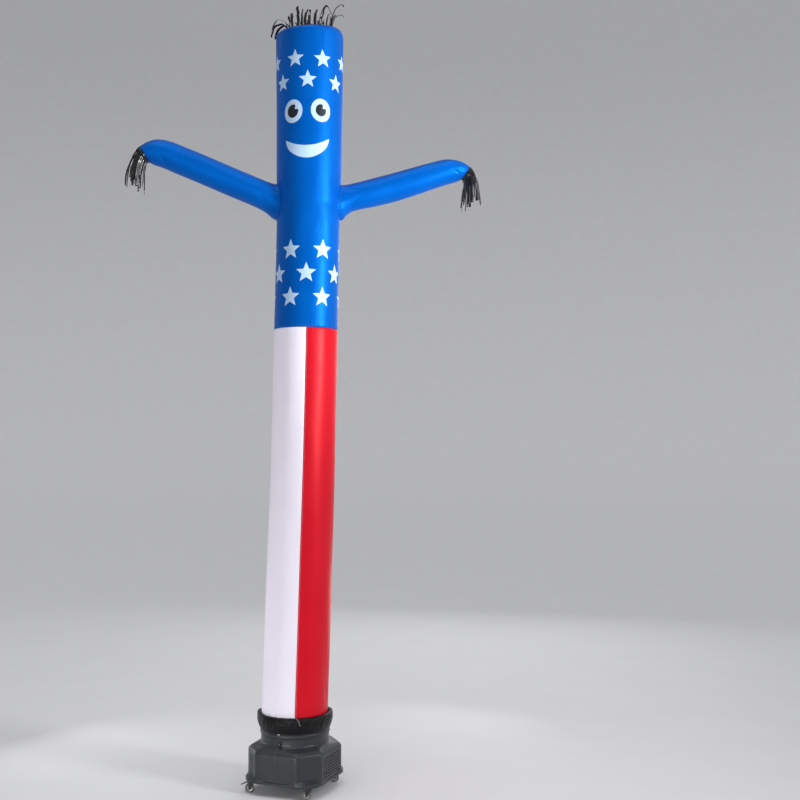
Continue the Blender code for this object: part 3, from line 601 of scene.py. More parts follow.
@dataclass(frozen=True)
class RubberFinish(Finish):
    """Soft grey tyre rubber with floor dust."""

    def dress(self, bench: NodeBench) -> None:
        """Dust patches and a dull, slightly pitted face."""
        room = bench.place()
        self.tint(bench, bench.noise(room, 55.0, 5.0, 0.4))
        pits = bench.noise(room, 520.0, 2.0)
        bench.give("Roughness", self.varied(bench, pits, 0.06, 0.06))
        bench.give("Normal", bench.bump(pits, 0.0002, 0.5))


@dataclass(frozen=True)
class FloorFinish(Finish):
    """The studio's pale matt floor."""

    def dress(self, bench: NodeBench) -> None:
        """Faint unevenness only."""
        room = bench.place()
        self.tint(bench, bench.noise(room, 3.0, 3.0))
        bench.give("Roughness", self.varied(bench, bench.noise(room, 90.0), 0.03, 0.03))


BLUE = NylonFinish(
    "blue_ripstop", "blue_nylon", (0.000, 0.100, 0.480), (0.000, 0.116, 0.530), 0.40, 0.24,
    gloss=0.40, shine=(0.06, 0.52, 1.0),
)
# White nylon carries painted light: an even emission for the light that comes through the cloth.
WHITE = NylonFinish(
    "white_ripstop", "white_nylon", (0.800, 0.755, 0.850), (0.830, 0.785, 0.875), 0.46, painted_glow=0.12
)
RED = NylonFinish(
    "red_ripstop", "red_nylon", (0.640, 0.003, 0.016), (0.680, 0.004, 0.021), 0.40, 0.10,
    gloss=0.40, shine=(1.0, 0.45, 0.40),
)
BLACK = NylonFinish(
    "black_ripstop", "black_nylon", (0.003, 0.003, 0.004), (0.006, 0.006, 0.007), 0.42,
    crumple=0.0018, gloss=0.22,
)
FOIL = FoilFinish("streamer_foil", "black_foil", (0.004, 0.004, 0.005), (0.010, 0.010, 0.012), 0.13)
PRINT_WHITE = InkFinish("white_ink", "white_nylon", (0.470, 0.655, 0.880), (0.500, 0.685, 0.900), 0.46)
PRINT_BLACK = InkFinish("black_ink", "black_nylon", (0.008, 0.010, 0.014), (0.014, 0.018, 0.026), 0.42)
BLUE_THREAD = ThreadFinish("blue_thread", "blue_nylon", (0.002, 0.070, 0.400), (0.004, 0.100, 0.520), 0.6)
# The tie's tape is grey, lighter than its black nylon, so its colour is partly painted highlight for the pale
# glint on its end.
GLINT_GREY_TAPE = NylonFinish(
    "grey_tape_painted_glint", "black_nylon", (0.110, 0.110, 0.112), (0.150, 0.150, 0.150), 0.40, grid=0.0016,
    crumple=0.0003, gloss=0.4,
)
WHITE_THREAD = ThreadFinish("white_thread", "white_nylon", (0.640, 0.620, 0.680), (0.760, 0.740, 0.800), 0.6)
GREY_PLASTIC = MouldedFinish(
    "grey_moulding", "moulded_grey", (0.019, 0.022, 0.027), (0.027, 0.030, 0.036), 0.36
)
GLOSS_PLASTIC = MouldedFinish(
    "gloss_moulding", "gloss_black", (0.005, 0.005, 0.006), (0.010, 0.010, 0.011), 0.24,
    grain=0.00003, coat=0.2,
)
DARK_STEEL = SteelFinish(
    "black_steel_paint", "black_steel", (0.024, 0.024, 0.026), (0.048, 0.047, 0.046), 0.34, 0.3
)
PLATED = SteelFinish("bright_plate", "bright_steel", (0.660, 0.665, 0.675), (0.740, 0.740, 0.745), 0.20, 1.0)
TYRE = RubberFinish("tyre_rubber", "grey_tyre", (0.110, 0.110, 0.112), (0.180, 0.176, 0.170), 0.62)
CLIP = MouldedFinish("pale_clip_plastic", "pale_clip", (0.640, 0.640, 0.630), (0.720, 0.720, 0.705), 0.40)
FLOOR = FloorFinish("studio_floor", "moulded_grey", (0.78, 0.78, 0.79), (0.80, 0.80, 0.81), 0.85)


def finished(piece: Piece, finish: Finish, *nodes: str) -> Piece:
    """Rides a piece on the figure's body and hides the CAD nodes it stands for.

    Args:
        piece: The finished mesh, in place.
        finish: The finish it wears; not used.
        nodes: CAD nodes it replaces.

    Returns:
        The piece.
    """
    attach(piece, BODY)
    if nodes:
        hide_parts(*nodes)
    log.info("%s: %d faces", piece.name, len(piece.data.polygons))
    return piece


# --- the cloth surfaces ------------------------------------------------------------------------


@dataclass(frozen=True)
class Crease:
    """One soft trough or ridge in the cloth.

    Attributes:
        around_deg: Its middle, round the piece.
        along: Its middle, as a height on the tube or a distance along an arm.
        lean_deg: Its direction from level; 90 runs along the piece.
        length: Half its length.
        width: Half its width.
        depth: How far it stands out; a trough is negative.
        bow: How far its middle bends aside.
    """

    around_deg: float
    along: float
    lean_deg: float
    length: float
    width: float
    depth: float
    bow: float = 0.0

    def height(self, angle: np.ndarray, along: np.ndarray, radius: np.ndarray) -> np.ndarray:
        """How far it lifts the cloth at each place.

        Args:
            angle: Places round the piece, in radians.
            along: Places along it.
            radius: The piece's radius there.

        Returns:
            The lift, in metres.
        """
        u = turned_delta(angle, math.radians(self.around_deg)) * radius
        v = along - self.along
        lean = math.radians(self.lean_deg)
        run = (u * math.cos(lean) + v * math.sin(lean)) / self.length
        side = -u * math.sin(lean) + v * math.cos(lean) + self.bow * run * run
        return self.depth * bell(run, 1.0) * bell(side, self.width)


@dataclass(frozen=True)
class ArmRing:
    """One ring of an arm, in its own leaning plane."""

    x: float
    z: float
    lean_deg: float
    half_up: float
    half_depth: float


class InflatedTube:
    """The tube's surface: a leaning column of rings with the cloth's own folds.

    Attributes:
        STATIONS: Height, shift of the middle from the blower's axis and diameter of each ring.
    """

    STATIONS = (
        (0.300, -0.001, 0.2960),
        (0.360, -0.001, 0.2935),
        (0.640, 0.007, 0.2922),
        (1.000, 0.017, 0.2890),
        (1.350, 0.027, 0.2872),
        (1.700, 0.035, 0.2860),
        (2.030, 0.041, 0.2845),
        (2.340, 0.047, 0.2825),
        (2.560, 0.051, 0.2870),
        (2.780, 0.053, 0.2975),
        (3.100, 0.053, 0.3000),
        (3.300, 0.053, 0.3050),
        (3.354, 0.053, 0.3050),
        (3.500, 0.053, 0.3040),
    )

    def __init__(self, creases: Sequence[Crease]) -> None:
        """Keeps the creases and the smooth centre line and radius."""
        heights, centres, diameters = zip(*self.STATIONS)
        self.centre = SmoothCurve(heights, [BLOWER_X + c for c in centres])
        self.radius = SmoothCurve(heights, [d / 2 for d in diameters])
        self.creases = tuple(creases)

    def relief(self, angle: np.ndarray, height: np.ndarray) -> np.ndarray:
        """How far the cloth stands out from its even tube."""
        radius = self.radius(height)
        total = 0.0006 * np.sin(2 * angle + 5.1 * height) + 0.0005 * np.sin(3 * angle - 3.3 * height + 1.0)
        total = total + 0.0004 * np.sin(5 * angle + 8.0 * height + 2.0)
        for crease in self.creases:
            total = total + crease.height(angle, height, radius)
        for seam_at, pitch, seed in SEAM_HEIGHTS:
            away = height - seam_at
            hold = bell(away, 0.0050)
            pucker = ruffle(angle * TUBE_RADIUS, pitch, seed) * bell(np.abs(away) - 0.010, 0.016)
            total = total - 0.0008 * hold + 0.0007 * pucker
        for seam_deg, low, high, seed in UPRIGHT_SEAMS:
            inside = (height > low - 0.001) & (height < high + 0.001)
            away = np.abs(turned_delta(angle, math.radians(seam_deg))) * radius
            pucker = ruffle(height, 0.026, seed) * bell(away - 0.009, 0.014)
            total = total + np.where(inside, 0.0007 * pucker - 0.0007 * bell(away, 0.0035), 0.0)
        return total

    def point(self, angle: np.ndarray, height: np.ndarray, lift: float | np.ndarray = 0.0) -> np.ndarray:
        """Points on the cloth.

        Args:
            angle: Places round the tube, in radians from the front.
            height: Their heights.
            lift: How far off the cloth they are.

        Returns:
            The points, with x, y and z last.
        """
        angle, height = np.broadcast_arrays(np.asarray(angle, float), np.asarray(height, float))
        radius = self.radius(height) + self.relief(angle, height) + lift
        return round_axis(self.centre(height), radius, angle, height)


TUBE_BOTTOM = 0.3285
BORDER = 2.026
HEM = 0.0125
ROOT_REACH = 0.30
ROOT_HALVINGS = 34
SHOULDER = 3.354
# Height, pitch of the puckers and seed of each level seam.
SEAM_HEIGHTS = ((BORDER, 0.021, 3), (TUBE_BOTTOM + 0.006, 0.017, 8))
# Angle, lowest point, highest point and seed of each upright seam.
UPRIGHT_SEAMS = ((0.0, TUBE_BOTTOM, BORDER, 11), (180.0, TUBE_BOTTOM, SHOULDER, 12))

TUBE_CREASES = (
    Crease(-62.0, 2.700, -50.0, 0.060, 0.016, -0.0028, 0.004),
    Crease(-48.0, 2.560, 24.0, 0.070, 0.020, -0.0026, 0.006),
    Crease(-60.0, 2.520, -8.0, 0.055, 0.016, 0.0016),
    Crease(-40.0, 2.640, 8.0, 0.050, 0.016, 0.0020),
    Crease(58.0, 2.705, 45.0, 0.055, 0.018, -0.0026, -0.004),
    Crease(44.0, 2.575, -22.0, 0.075, 0.022, -0.0026, 0.006),
    Crease(56.0, 2.515, 10.0, 0.055, 0.016, 0.0018),
    Crease(30.0, 2.500, -60.0, 0.090, 0.030, 0.0022),
    Crease(20.0, 2.630, 80.0, 0.110, 0.034, -0.0018),
    Crease(-18.0, 2.480, 70.0, 0.100, 0.030, 0.0016),
    Crease(120.0, 2.600, 20.0, 0.080, 0.018, -0.0035, 0.006),
    Crease(-125.0, 2.590, -18.0, 0.080, 0.018, -0.0035, 0.006),
    Crease(160.0, 2.720, 75.0, 0.110, 0.030, 0.0020),
    Crease(36.0, 2.390, 84.0, 0.120, 0.030, 0.0014),
    Crease(30.0, 1.820, 88.0, 0.220, 0.034, 0.0016),
    Crease(-30.0, 1.650, 86.0, 0.240, 0.036, 0.0012),
    Crease(44.0, 1.300, 92.0, 0.240, 0.030, -0.0012),
    Crease(-58.0, 1.120, 90.0, 0.260, 0.030, -0.0012),
    Crease(34.0, 0.900, 89.0, 0.260, 0.034, 0.0014),
    Crease(-25.0, 0.700, 84.0, 0.200, 0.030, 0.0012),
    Crease(60.0, 0.560, 96.0, 0.160, 0.026, -0.0014),
    Crease(150.0, 1.450, 90.0, 0.300, 0.036, 0.0016),
    Crease(-140.0, 0.900, 88.0, 0.280, 0.034, -0.0014),
    Crease(-50.0, 0.395, 58.0, 0.050, 0.014, -0.0022),
    Crease(22.0, 0.400, 80.0, 0.050, 0.012, -0.0018),
    Crease(70.0, 0.405, 110.0, 0.050, 0.014, -0.0022),
    Crease(115.0, 0.400, 75.0, 0.050, 0.014, -0.0020),
    Crease(-110.0, 0.400, 100.0, 0.050, 0.014, -0.0020),
    Crease(170.0, 0.410, 86.0, 0.060, 0.014, -0.0020),
    Crease(-64.0, 3.315, 76.0, 0.050, 0.016, -0.0018),
    Crease(18.0, 3.320, 95.0, 0.045, 0.014, -0.0014),
    Crease(66.0, 3.310, 84.0, 0.050, 0.014, -0.0016),
    Crease(130.0, 3.310, 96.0, 0.050, 0.016, -0.0018),
    Crease(-130.0, 3.315, 82.0, 0.050, 0.016, -0.0018),
)


class ArmSurface:
    """An arm's surface, from where it leaves the torso to its open mouth."""

    def __init__(
        self, side: float, rings: Sequence[ArmRing], creases: Sequence[Crease], tube: InflatedTube
    ) -> None:
        """Keeps the rings as smooth curves along the arm.

        Args:
            side: -1 for the arm towards -X, 1 for the other.
            rings: Its rings, the one inside the torso first.
            creases: Its folds, with along measured from the first ring.
            tube: The torso it grows from.
        """
        self.side = side
        self.tube = tube
        self.creases = tuple(creases)
        steps_along = [0.0]
        for a, b in zip(rings, rings[1:]):
            steps_along.append(steps_along[-1] + math.hypot(b.x - a.x, b.z - a.z))
        self.length = steps_along[-1]
        self.x = SmoothCurve(steps_along, [BLOWER_X + r.x for r in rings])
        self.z = SmoothCurve(steps_along, [r.z for r in rings])
        self.lean = SmoothCurve(steps_along, [math.radians(r.lean_deg) for r in rings])
        self.half_up = SmoothCurve(steps_along, [r.half_up for r in rings])
        self.half_depth = SmoothCurve(steps_along, [r.half_depth for r in rings])

    def relief(self, turn: np.ndarray, along: np.ndarray) -> np.ndarray:
        """How far the cloth stands out from its even arm."""
        radius = self.half_depth(along)
        total = 0.0006 * np.sin(2 * turn + 11.0 * along + self.side)
        total = total + 0.0005 * np.sin(3 * turn - 17.0 * along)
        for crease in self.creases:
            total = total + crease.height(turn, along, radius)
        from_mouth = self.length - along
        hem = ruffle(turn * 0.05, 0.013, 31 + int(self.side)) * bell(from_mouth - 0.016, 0.012)
        total = total + 0.0006 * bell(from_mouth - 0.004, 0.006)
        total = total - 0.0007 * bell(from_mouth - HEM, 0.0022) + 0.0007 * hem
        return total * np.clip(along / 0.05, 0.0, 1.0)

    def point(self, turn: np.ndarray, along: np.ndarray, lift: float | np.ndarray = 0.0) -> np.ndarray:
        """Points on the cloth.

        Args:
            turn: Places round the arm: 0 is its front, a quarter turn its top.
            along: Distances from its first ring.
            lift: How far off the cloth they are.

        Returns:
            The points, with x, y and z last.
        """
        turn, along = np.broadcast_arrays(np.asarray(turn, float), np.asarray(along, float))
        out = self.relief(turn, along) + lift
        lean = self.lean(along)
        rise = np.sin(turn) * (self.half_up(along) + out)
        depth = -np.cos(turn) * (self.half_depth(along) + out)
        return np.stack([self.x(along) + np.sin(lean) * rise, depth, self.z(along) + np.cos(lean) * rise], -1)

    def root(self, turn: np.ndarray, flare: float = 0.0) -> np.ndarray:
        """Where the arm leaves the torso at each place round it.

        Args:
            turn: Places round the arm.
            flare: How much wider the arm is there.

        Returns:
            Distances from the first ring.
        """
        low = np.zeros_like(turn)
        high = np.full_like(turn, ROOT_REACH)
        for _ in range(ROOT_HALVINGS):
            middle = (low + high) / 2
            p = self.point(turn, middle, flare)
            across = p[..., 0] - self.tube.centre(p[..., 2])
            angle = np.arctan2(across, -p[..., 1])
            wall = self.tube.radius(p[..., 2]) + self.tube.relief(angle, p[..., 2])
            outside = np.hypot(across, p[..., 1]) > wall
            high = np.where(outside, middle, high)
            low = np.where(outside, low, middle)
        return high


ARM_RINGS_LEFT = (
    ArmRing(0.013, 2.571, 21.9, 0.0680, 0.0660),
    ArmRing(-0.080, 2.603, 21.9, 0.0775, 0.0660),
    ArmRing(-0.111, 2.617, 21.9, 0.0690, 0.0645),
    ArmRing(-0.155, 2.637, 21.9, 0.0645, 0.0635),
    ArmRing(-0.287, 2.691, 22.5, 0.0635, 0.0630),
    ArmRing(-0.397, 2.736, 22.0, 0.0625, 0.0625),
    ArmRing(-0.507, 2.780, 21.5, 0.0620, 0.0620),
    ArmRing(-0.585, 2.811, 19.0, 0.0615, 0.0610),
    ArmRing(-0.629, 2.820, 4.0, 0.0585, 0.0595),
    ArmRing(-0.659, 2.816, -14.0, 0.0500, 0.0560),
    ArmRing(-0.684, 2.810, -31.0, 0.0390, 0.0510),
)
ARM_RINGS_RIGHT = (
    ArmRing(0.093, 2.598, -15.0, 0.0740, 0.0660),
    ArmRing(0.183, 2.607, -15.0, 0.0790, 0.0660),
    ArmRing(0.207, 2.618, -14.5, 0.0690, 0.0645),
    ArmRing(0.237, 2.630, -14.5, 0.0620, 0.0630),
    ArmRing(0.343, 2.658, -15.0, 0.0630, 0.0625),
    ArmRing(0.433, 2.683, -16.0, 0.0630, 0.0625),
    ArmRing(0.533, 2.714, -17.0, 0.0615, 0.0620),
    ArmRing(0.633, 2.747, -17.5, 0.0590, 0.0600),
    ArmRing(0.697, 2.765, -14.0, 0.0565, 0.0580),
    ArmRing(0.735, 2.766, 4.0, 0.0480, 0.0530),
    ArmRing(0.756, 2.761, 20.0, 0.0400, 0.0490),
    ArmRing(0.770, 2.756, 33.5, 0.0340, 0.0460),
)
ARM_CREASES_LEFT = (
    Crease(30.0, 0.165, 70.0, 0.050, 0.009, -0.0030, 0.004),
    Crease(-20.0, 0.175, 60.0, 0.045, 0.010, -0.0024, -0.004),
    Crease(80.0, 0.200, 84.0, 0.070, 0.010, -0.0020),
    Crease(-60.0, 0.210, 78.0, 0.060, 0.010, 0.0020),
    Crease(10.0, 0.330, 82.0, 0.120, 0.014, 0.0014),
    Crease(150.0, 0.240, 80.0, 0.080, 0.012, -0.0022),
    Crease(-140.0, 0.450, 95.0, 0.100, 0.012, -0.0016),
    Crease(48.0, 0.520, 97.0, 0.100, 0.012, -0.0014),
    Crease(20.0, 0.600, 20.0, 0.035, 0.010, -0.0020, 0.004),
    Crease(-35.0, 0.640, 50.0, 0.035, 0.009, -0.0022),
    Crease(60.0, 0.665, 100.0, 0.030, 0.009, -0.0022),
    Crease(110.0, 0.650, 70.0, 0.040, 0.010, -0.0022),
    Crease(-100.0, 0.660, 95.0, 0.035, 0.009, -0.0024),
    Crease(180.0, 0.650, 84.0, 0.040, 0.010, -0.0022),
)
ARM_CREASES_RIGHT = (
    Crease(25.0, 0.160, 112.0, 0.050, 0.009, -0.0028, 0.004),
    Crease(-25.0, 0.170, 62.0, 0.045, 0.010, -0.0028, -0.004),
    Crease(85.0, 0.190, 96.0, 0.070, 0.010, -0.0020),
    Crease(-70.0, 0.200, 100.0, 0.060, 0.010, 0.0018),
    Crease(15.0, 0.380, 80.0, 0.130, 0.014, 0.0016, 0.006),
    Crease(150.0, 0.260, 84.0, 0.090, 0.012, -0.0020),
    Crease(-140.0, 0.480, 92.0, 0.100, 0.012, -0.0016),
    Crease(40.0, 0.560, 78.0, 0.090, 0.012, -0.0014),
    Crease(30.0, 0.652, 68.0, 0.020, 0.0042, -0.0042, 0.003),
    Crease(-14.0, 0.646, 118.0, 0.018, 0.0040, -0.0044, -0.003),
    Crease(8.0, 0.662, 92.0, 0.018, 0.0085, 0.0036),
    Crease(-48.0, 0.655, 60.0, 0.024, 0.007, -0.0024),
    Crease(75.0, 0.650, 90.0, 0.032, 0.009, -0.0024),
    Crease(120.0, 0.640, 70.0, 0.036, 0.010, -0.0022),
    Crease(-110.0, 0.650, 95.0, 0.034, 0.009, -0.0024),
    Crease(180.0, 0.645, 84.0, 0.036, 0.010, -0.0022),
)


# --- stitching ---------------------------------------------------------------------------------


# A stitch's points: its start, four on its ridge, its end, then four along its foot.
STITCH_FACES = [
    (1, 3, 4, 2), (0, 1, 2), (5, 4, 3), (6, 8, 3, 1), (7, 2, 4, 9), (6, 1, 0),
    (7, 0, 2), (8, 5, 3), (9, 4, 5), (6, 7, 9, 8), (6, 0, 7), (8, 9, 5),
]

@dataclass(frozen=True)
class StitchRow:
    """Lockstitches along a line on a surface.

    Attributes:
        place: Gives points from shares of the line, 0 to 1, and a lift off the cloth.
        length: The line's length.
        pitch: Distance from stitch to stitch.
        thick: The thread's thickness.
        gap: Share of the pitch that is bare before and after a stitch.
        slope: Share of the pitch over which the thread rises.
        rise: How high the thread stands, in thicknesses.
    """

    place: Line
    length: float
    pitch: float = 0.0045
    thick: float = 0.0007
    gap: float = 0.14
    slope: float = 0.18
    rise: float = 0.62

    def parts(self) -> list[Part]:
        """The stitches, each a small six-sided sliver of thread."""
        count = max(3, int(self.length / self.pitch))
        starts = (np.arange(count) + self.gap) / count
        ends = (np.arange(count) + (1 - self.gap)) / count
        low_a, low_b = self.place(starts, 0.0), self.place(ends, 0.0)
        top_a = self.place(starts + self.slope / count, self.thick * self.rise)
        top_b = self.place(ends - self.slope / count, self.thick * self.rise)
        found = []
        for a, b, c, d in zip(low_a, low_b, top_a, top_b):
            along = b - a
            up = (c - a) - along * (np.dot(c - a, along) / np.dot(along, along))
            side = np.cross(along, up)
            side = side / np.linalg.norm(side) * self.thick * 0.5
            ridge, sunk = side * 0.7, up * 0.4
            top = [c + ridge, c - ridge, d + ridge, d - ridge]
            foot = [a + side - sunk, a - side - sunk, b + side - sunk, b - side - sunk]
            found.append((np.array([a, *top, b, *foot]), STITCH_FACES))
        return found


def stitch_piece(name: str, rows: Sequence[StitchRow], finish: Finish) -> Piece:
    """One piece from several rows of stitches."""
    parts: list = []
    for row in rows:
        parts.extend(row.parts())
    return finished(joined(name, parts, finish, smooth=False), finish)


# --- the printed figure ------------------------------------------------------------------------


@dataclass(frozen=True)
class Star:
    """A five-pointed star on the tube."""

    around_deg: float
    height: float
    reach: float
    tilt_deg: float = 0.0
    notch: float = 0.44

    def outline(self) -> np.ndarray:
        """Its outline in cloth metres from its middle, with several points to an edge."""
        corners = []
        for k in range(10):
            turn = math.pi * k / 5 + math.radians(self.tilt_deg)
            far = self.reach if k % 2 == 0 else self.reach * self.notch
            corners.append((far * math.sin(turn), far * math.cos(turn)))
        return dense_outline(np.array(corners), 7)


def star_ring(height: float, reach: float, middle_deg: float, shift: float) -> tuple[Star, ...]:
    """Six even stars round the tube; shift 0.5 puts the middle between two of them."""
    return tuple(Star(middle_deg + (k + shift) * 60.0, height, reach) for k in range(6))


@dataclass(frozen=True)
class Oval:
    """A tilted oval on the tube, with a wedge bitten out of it if bite is over 0."""

    around_deg: float
    height: float
    half_wide: float
    half_high: float
    tilt_deg: float = 0.0
    bite: float = 0.0
    bite_deg: float = 46.0

    def outline(self) -> np.ndarray:
        """Its outline in cloth metres from its middle."""
        turn = np.linspace(0, TURN, 96, endpoint=False)
        radius = 1.0 / np.sqrt((np.sin(turn) / self.half_wide) ** 2 + (np.cos(turn) / self.half_high) ** 2)
        away = turned_delta(turn, math.radians(self.bite_deg))
        radius = radius * (1.0 - self.bite * np.exp(-((np.abs(away) / math.radians(19.0)) ** 4)))
        u, v = radius * np.sin(turn), radius * np.cos(turn)
        tilt = math.radians(self.tilt_deg)
        return np.stack(
            [u * math.cos(tilt) + v * math.sin(tilt), -u * math.sin(tilt) + v * math.cos(tilt)], 1
        )


def dense_outline(corners: np.ndarray, count: int) -> np.ndarray:
    """The corners of a closed outline with count points from each to the next."""
    after = np.roll(corners, -1, axis=0)
    share = np.arange(count)[:, None, None] / count
    return (corners * (1 - share) + after * share).transpose(1, 0, 2).reshape(-1, 2)


@dataclass(frozen=True)
class Smile:
    """A crescent: a wide grin, its top edge dipping and its ends turned up."""

    around_deg: float = -4.2
    half_deg: float = 40.0
    top: float = 2.8296
    top_rise: float = 0.0345
    bottom: float = 2.7742
    bottom_rise: float = 0.0600
    end_rise: float = 0.0290
    slant: float = 0.0046
    rows: int = 9
    columns: int = 61

    def grid(self, tube: InflatedTube, lift: float) -> np.ndarray:
        """Its points by row and column, on the tube."""
        t = np.sin(np.linspace(-math.pi / 2, math.pi / 2, self.columns))
        angle = np.radians(self.around_deg + self.half_deg * t)
        high = self.top + self.top_rise * t**2 + self.slant * t - 0.0040 * np.abs(t) ** 24
        low = self.bottom + self.bottom_rise * t**2 + self.end_rise * t**14 + self.slant * t
        low = np.minimum(low, high - 0.0003)
        share = np.linspace(0, 1, self.rows)[:, None]
        return tube.point(angle[None, :], low * (1 - share) + high * share, lift)


@dataclass
class Print:
    """Everything screen printed on the blue cloth."""

    tube: InflatedTube
    film: float = 0.00028
    star_rows: tuple[tuple[str, tuple[Star, ...]], ...] = (
        (
            "head_stars_upper",
            (
                Star(-73.4, 3.2200, 0.0415),
                Star(-25.2, 3.2195, 0.0415),
                Star(22.7, 3.2200, 0.0430, -4.0),
                Star(70.4, 3.2270, 0.0415),
                Star(124.0, 3.2240, 0.0415),
                Star(178.0, 3.2220, 0.0415),
                Star(-127.0, 3.2200, 0.0415),
            ),
        ),
        (
            "head_stars_lower",
            (
                Star(-52.0, 3.1200, 0.0415),
                Star(-3.4, 3.1240, 0.0420),
                Star(50.6, 3.1230, 0.0430),
                Star(101.5, 3.1240, 0.0415),
                Star(153.0, 3.1240, 0.0415),
                Star(-155.0, 3.1240, 0.0415),
                Star(-103.5, 3.1220, 0.0415),
            ),
        ),
        ("belly_stars_upper", star_ring(2.3700, 0.0470, -2.6, 0.5)),
        ("belly_stars_middle", star_ring(2.2660, 0.0470, -2.2, 0.0)),
        ("belly_stars_lower", star_ring(2.1600, 0.0470, -1.6, 0.5)),
    )
    eyes: tuple[Oval, ...] = (
        Oval(-29.4, 2.9840, 0.0448, 0.0525, 7.0),
        Oval(19.8, 2.9880, 0.0464, 0.0520, -3.0),
    )
    pupils: tuple[Oval, ...] = (
        Oval(-29.6, 2.9840, 0.0262, 0.0295, 10.0, 0.50, 40.0),
        Oval(19.6, 2.9880, 0.0244, 0.0272, -3.0, 0.52, 48.0),
    )

    def patch(self, around_deg: float, height: float, outline: np.ndarray, lift: float) -> Part:
        """Points and faces of a figure that is seen whole from its middle."""
        rings = np.linspace(0, 1, 11)[1:]
        count = len(outline)
        radius = float(self.tube.radius(height))
        u = np.concatenate([[0.0], (rings[:, None] * outline[None, :, 0]).ravel()])
        v = np.concatenate([[0.0], (rings[:, None] * outline[None, :, 1]).ravel()])
        points = self.tube.point(math.radians(around_deg) + u / radius, height + v, lift)
        edge = len(points) - count
        rim = self.tube.point(math.radians(around_deg) + u[edge:] / radius, height + v[edge:], -0.0001)
        faces = [(0, 1 + (c + 1) % count, 1 + c) for c in range(count)]
        return np.concatenate([points, rim]), faces + quads(len(rings) + 1, count, start=1)

    def film_piece(self, name: str, parts: list, finish: Finish) -> Piece:
        """A printed piece from its parts, mapped like the cloth under it."""
        made = joined(name, parts, finish, smooth=True)
        mesh = made.data
        layer = mesh.uv_layers.new(name=CLOTH_MAP)
        corner = np.zeros(len(mesh.loops), np.int32)
        mesh.loops.foreach_get("vertex_index", corner)
        place = np.zeros(len(mesh.vertices) * 3, np.float32)
        mesh.vertices.foreach_get("co", place)
        place = place.reshape(-1, 3)[corner]
        around = np.arctan2(place[:, 0] - self.tube.centre(place[:, 2]), -place[:, 1]) * TUBE_RADIUS
        layer.uv.foreach_set("vector", np.stack([around, place[:, 2]], 1).astype(np.float32).ravel())
        return finished(made, finish)

    def stars(self) -> list[Piece]:
        """The rows of stars, one piece a row."""
        made = []
        for name, row in self.star_rows:
            parts = [self.patch(star.around_deg, star.height, star.outline(), self.film) for star in row]
            made.append(self.film_piece(name, parts, PRINT_WHITE))
        return made

    def face(self) -> list[Piece]:
        """The eyes, their pupils and the smile."""
        whites = [self.patch(e.around_deg, e.height, e.outline(), self.film) for e in self.eyes]
        blacks = [self.patch(e.around_deg, e.height, e.outline(), 2 * self.film) for e in self.pupils]
        grid = Smile().grid(self.tube, self.film)
        faces = quads(*grid.shape[:2], closed=False)
        return [
            self.film_piece("eye_whites", whites, PRINT_WHITE),
            self.film_piece("pupils", blacks, PRINT_BLACK),
            self.film_piece("smile", [(grid.reshape(-1, 3), faces)], PRINT_WHITE),
        ]


# --- the cloth pieces --------------------------------------------------------------------------


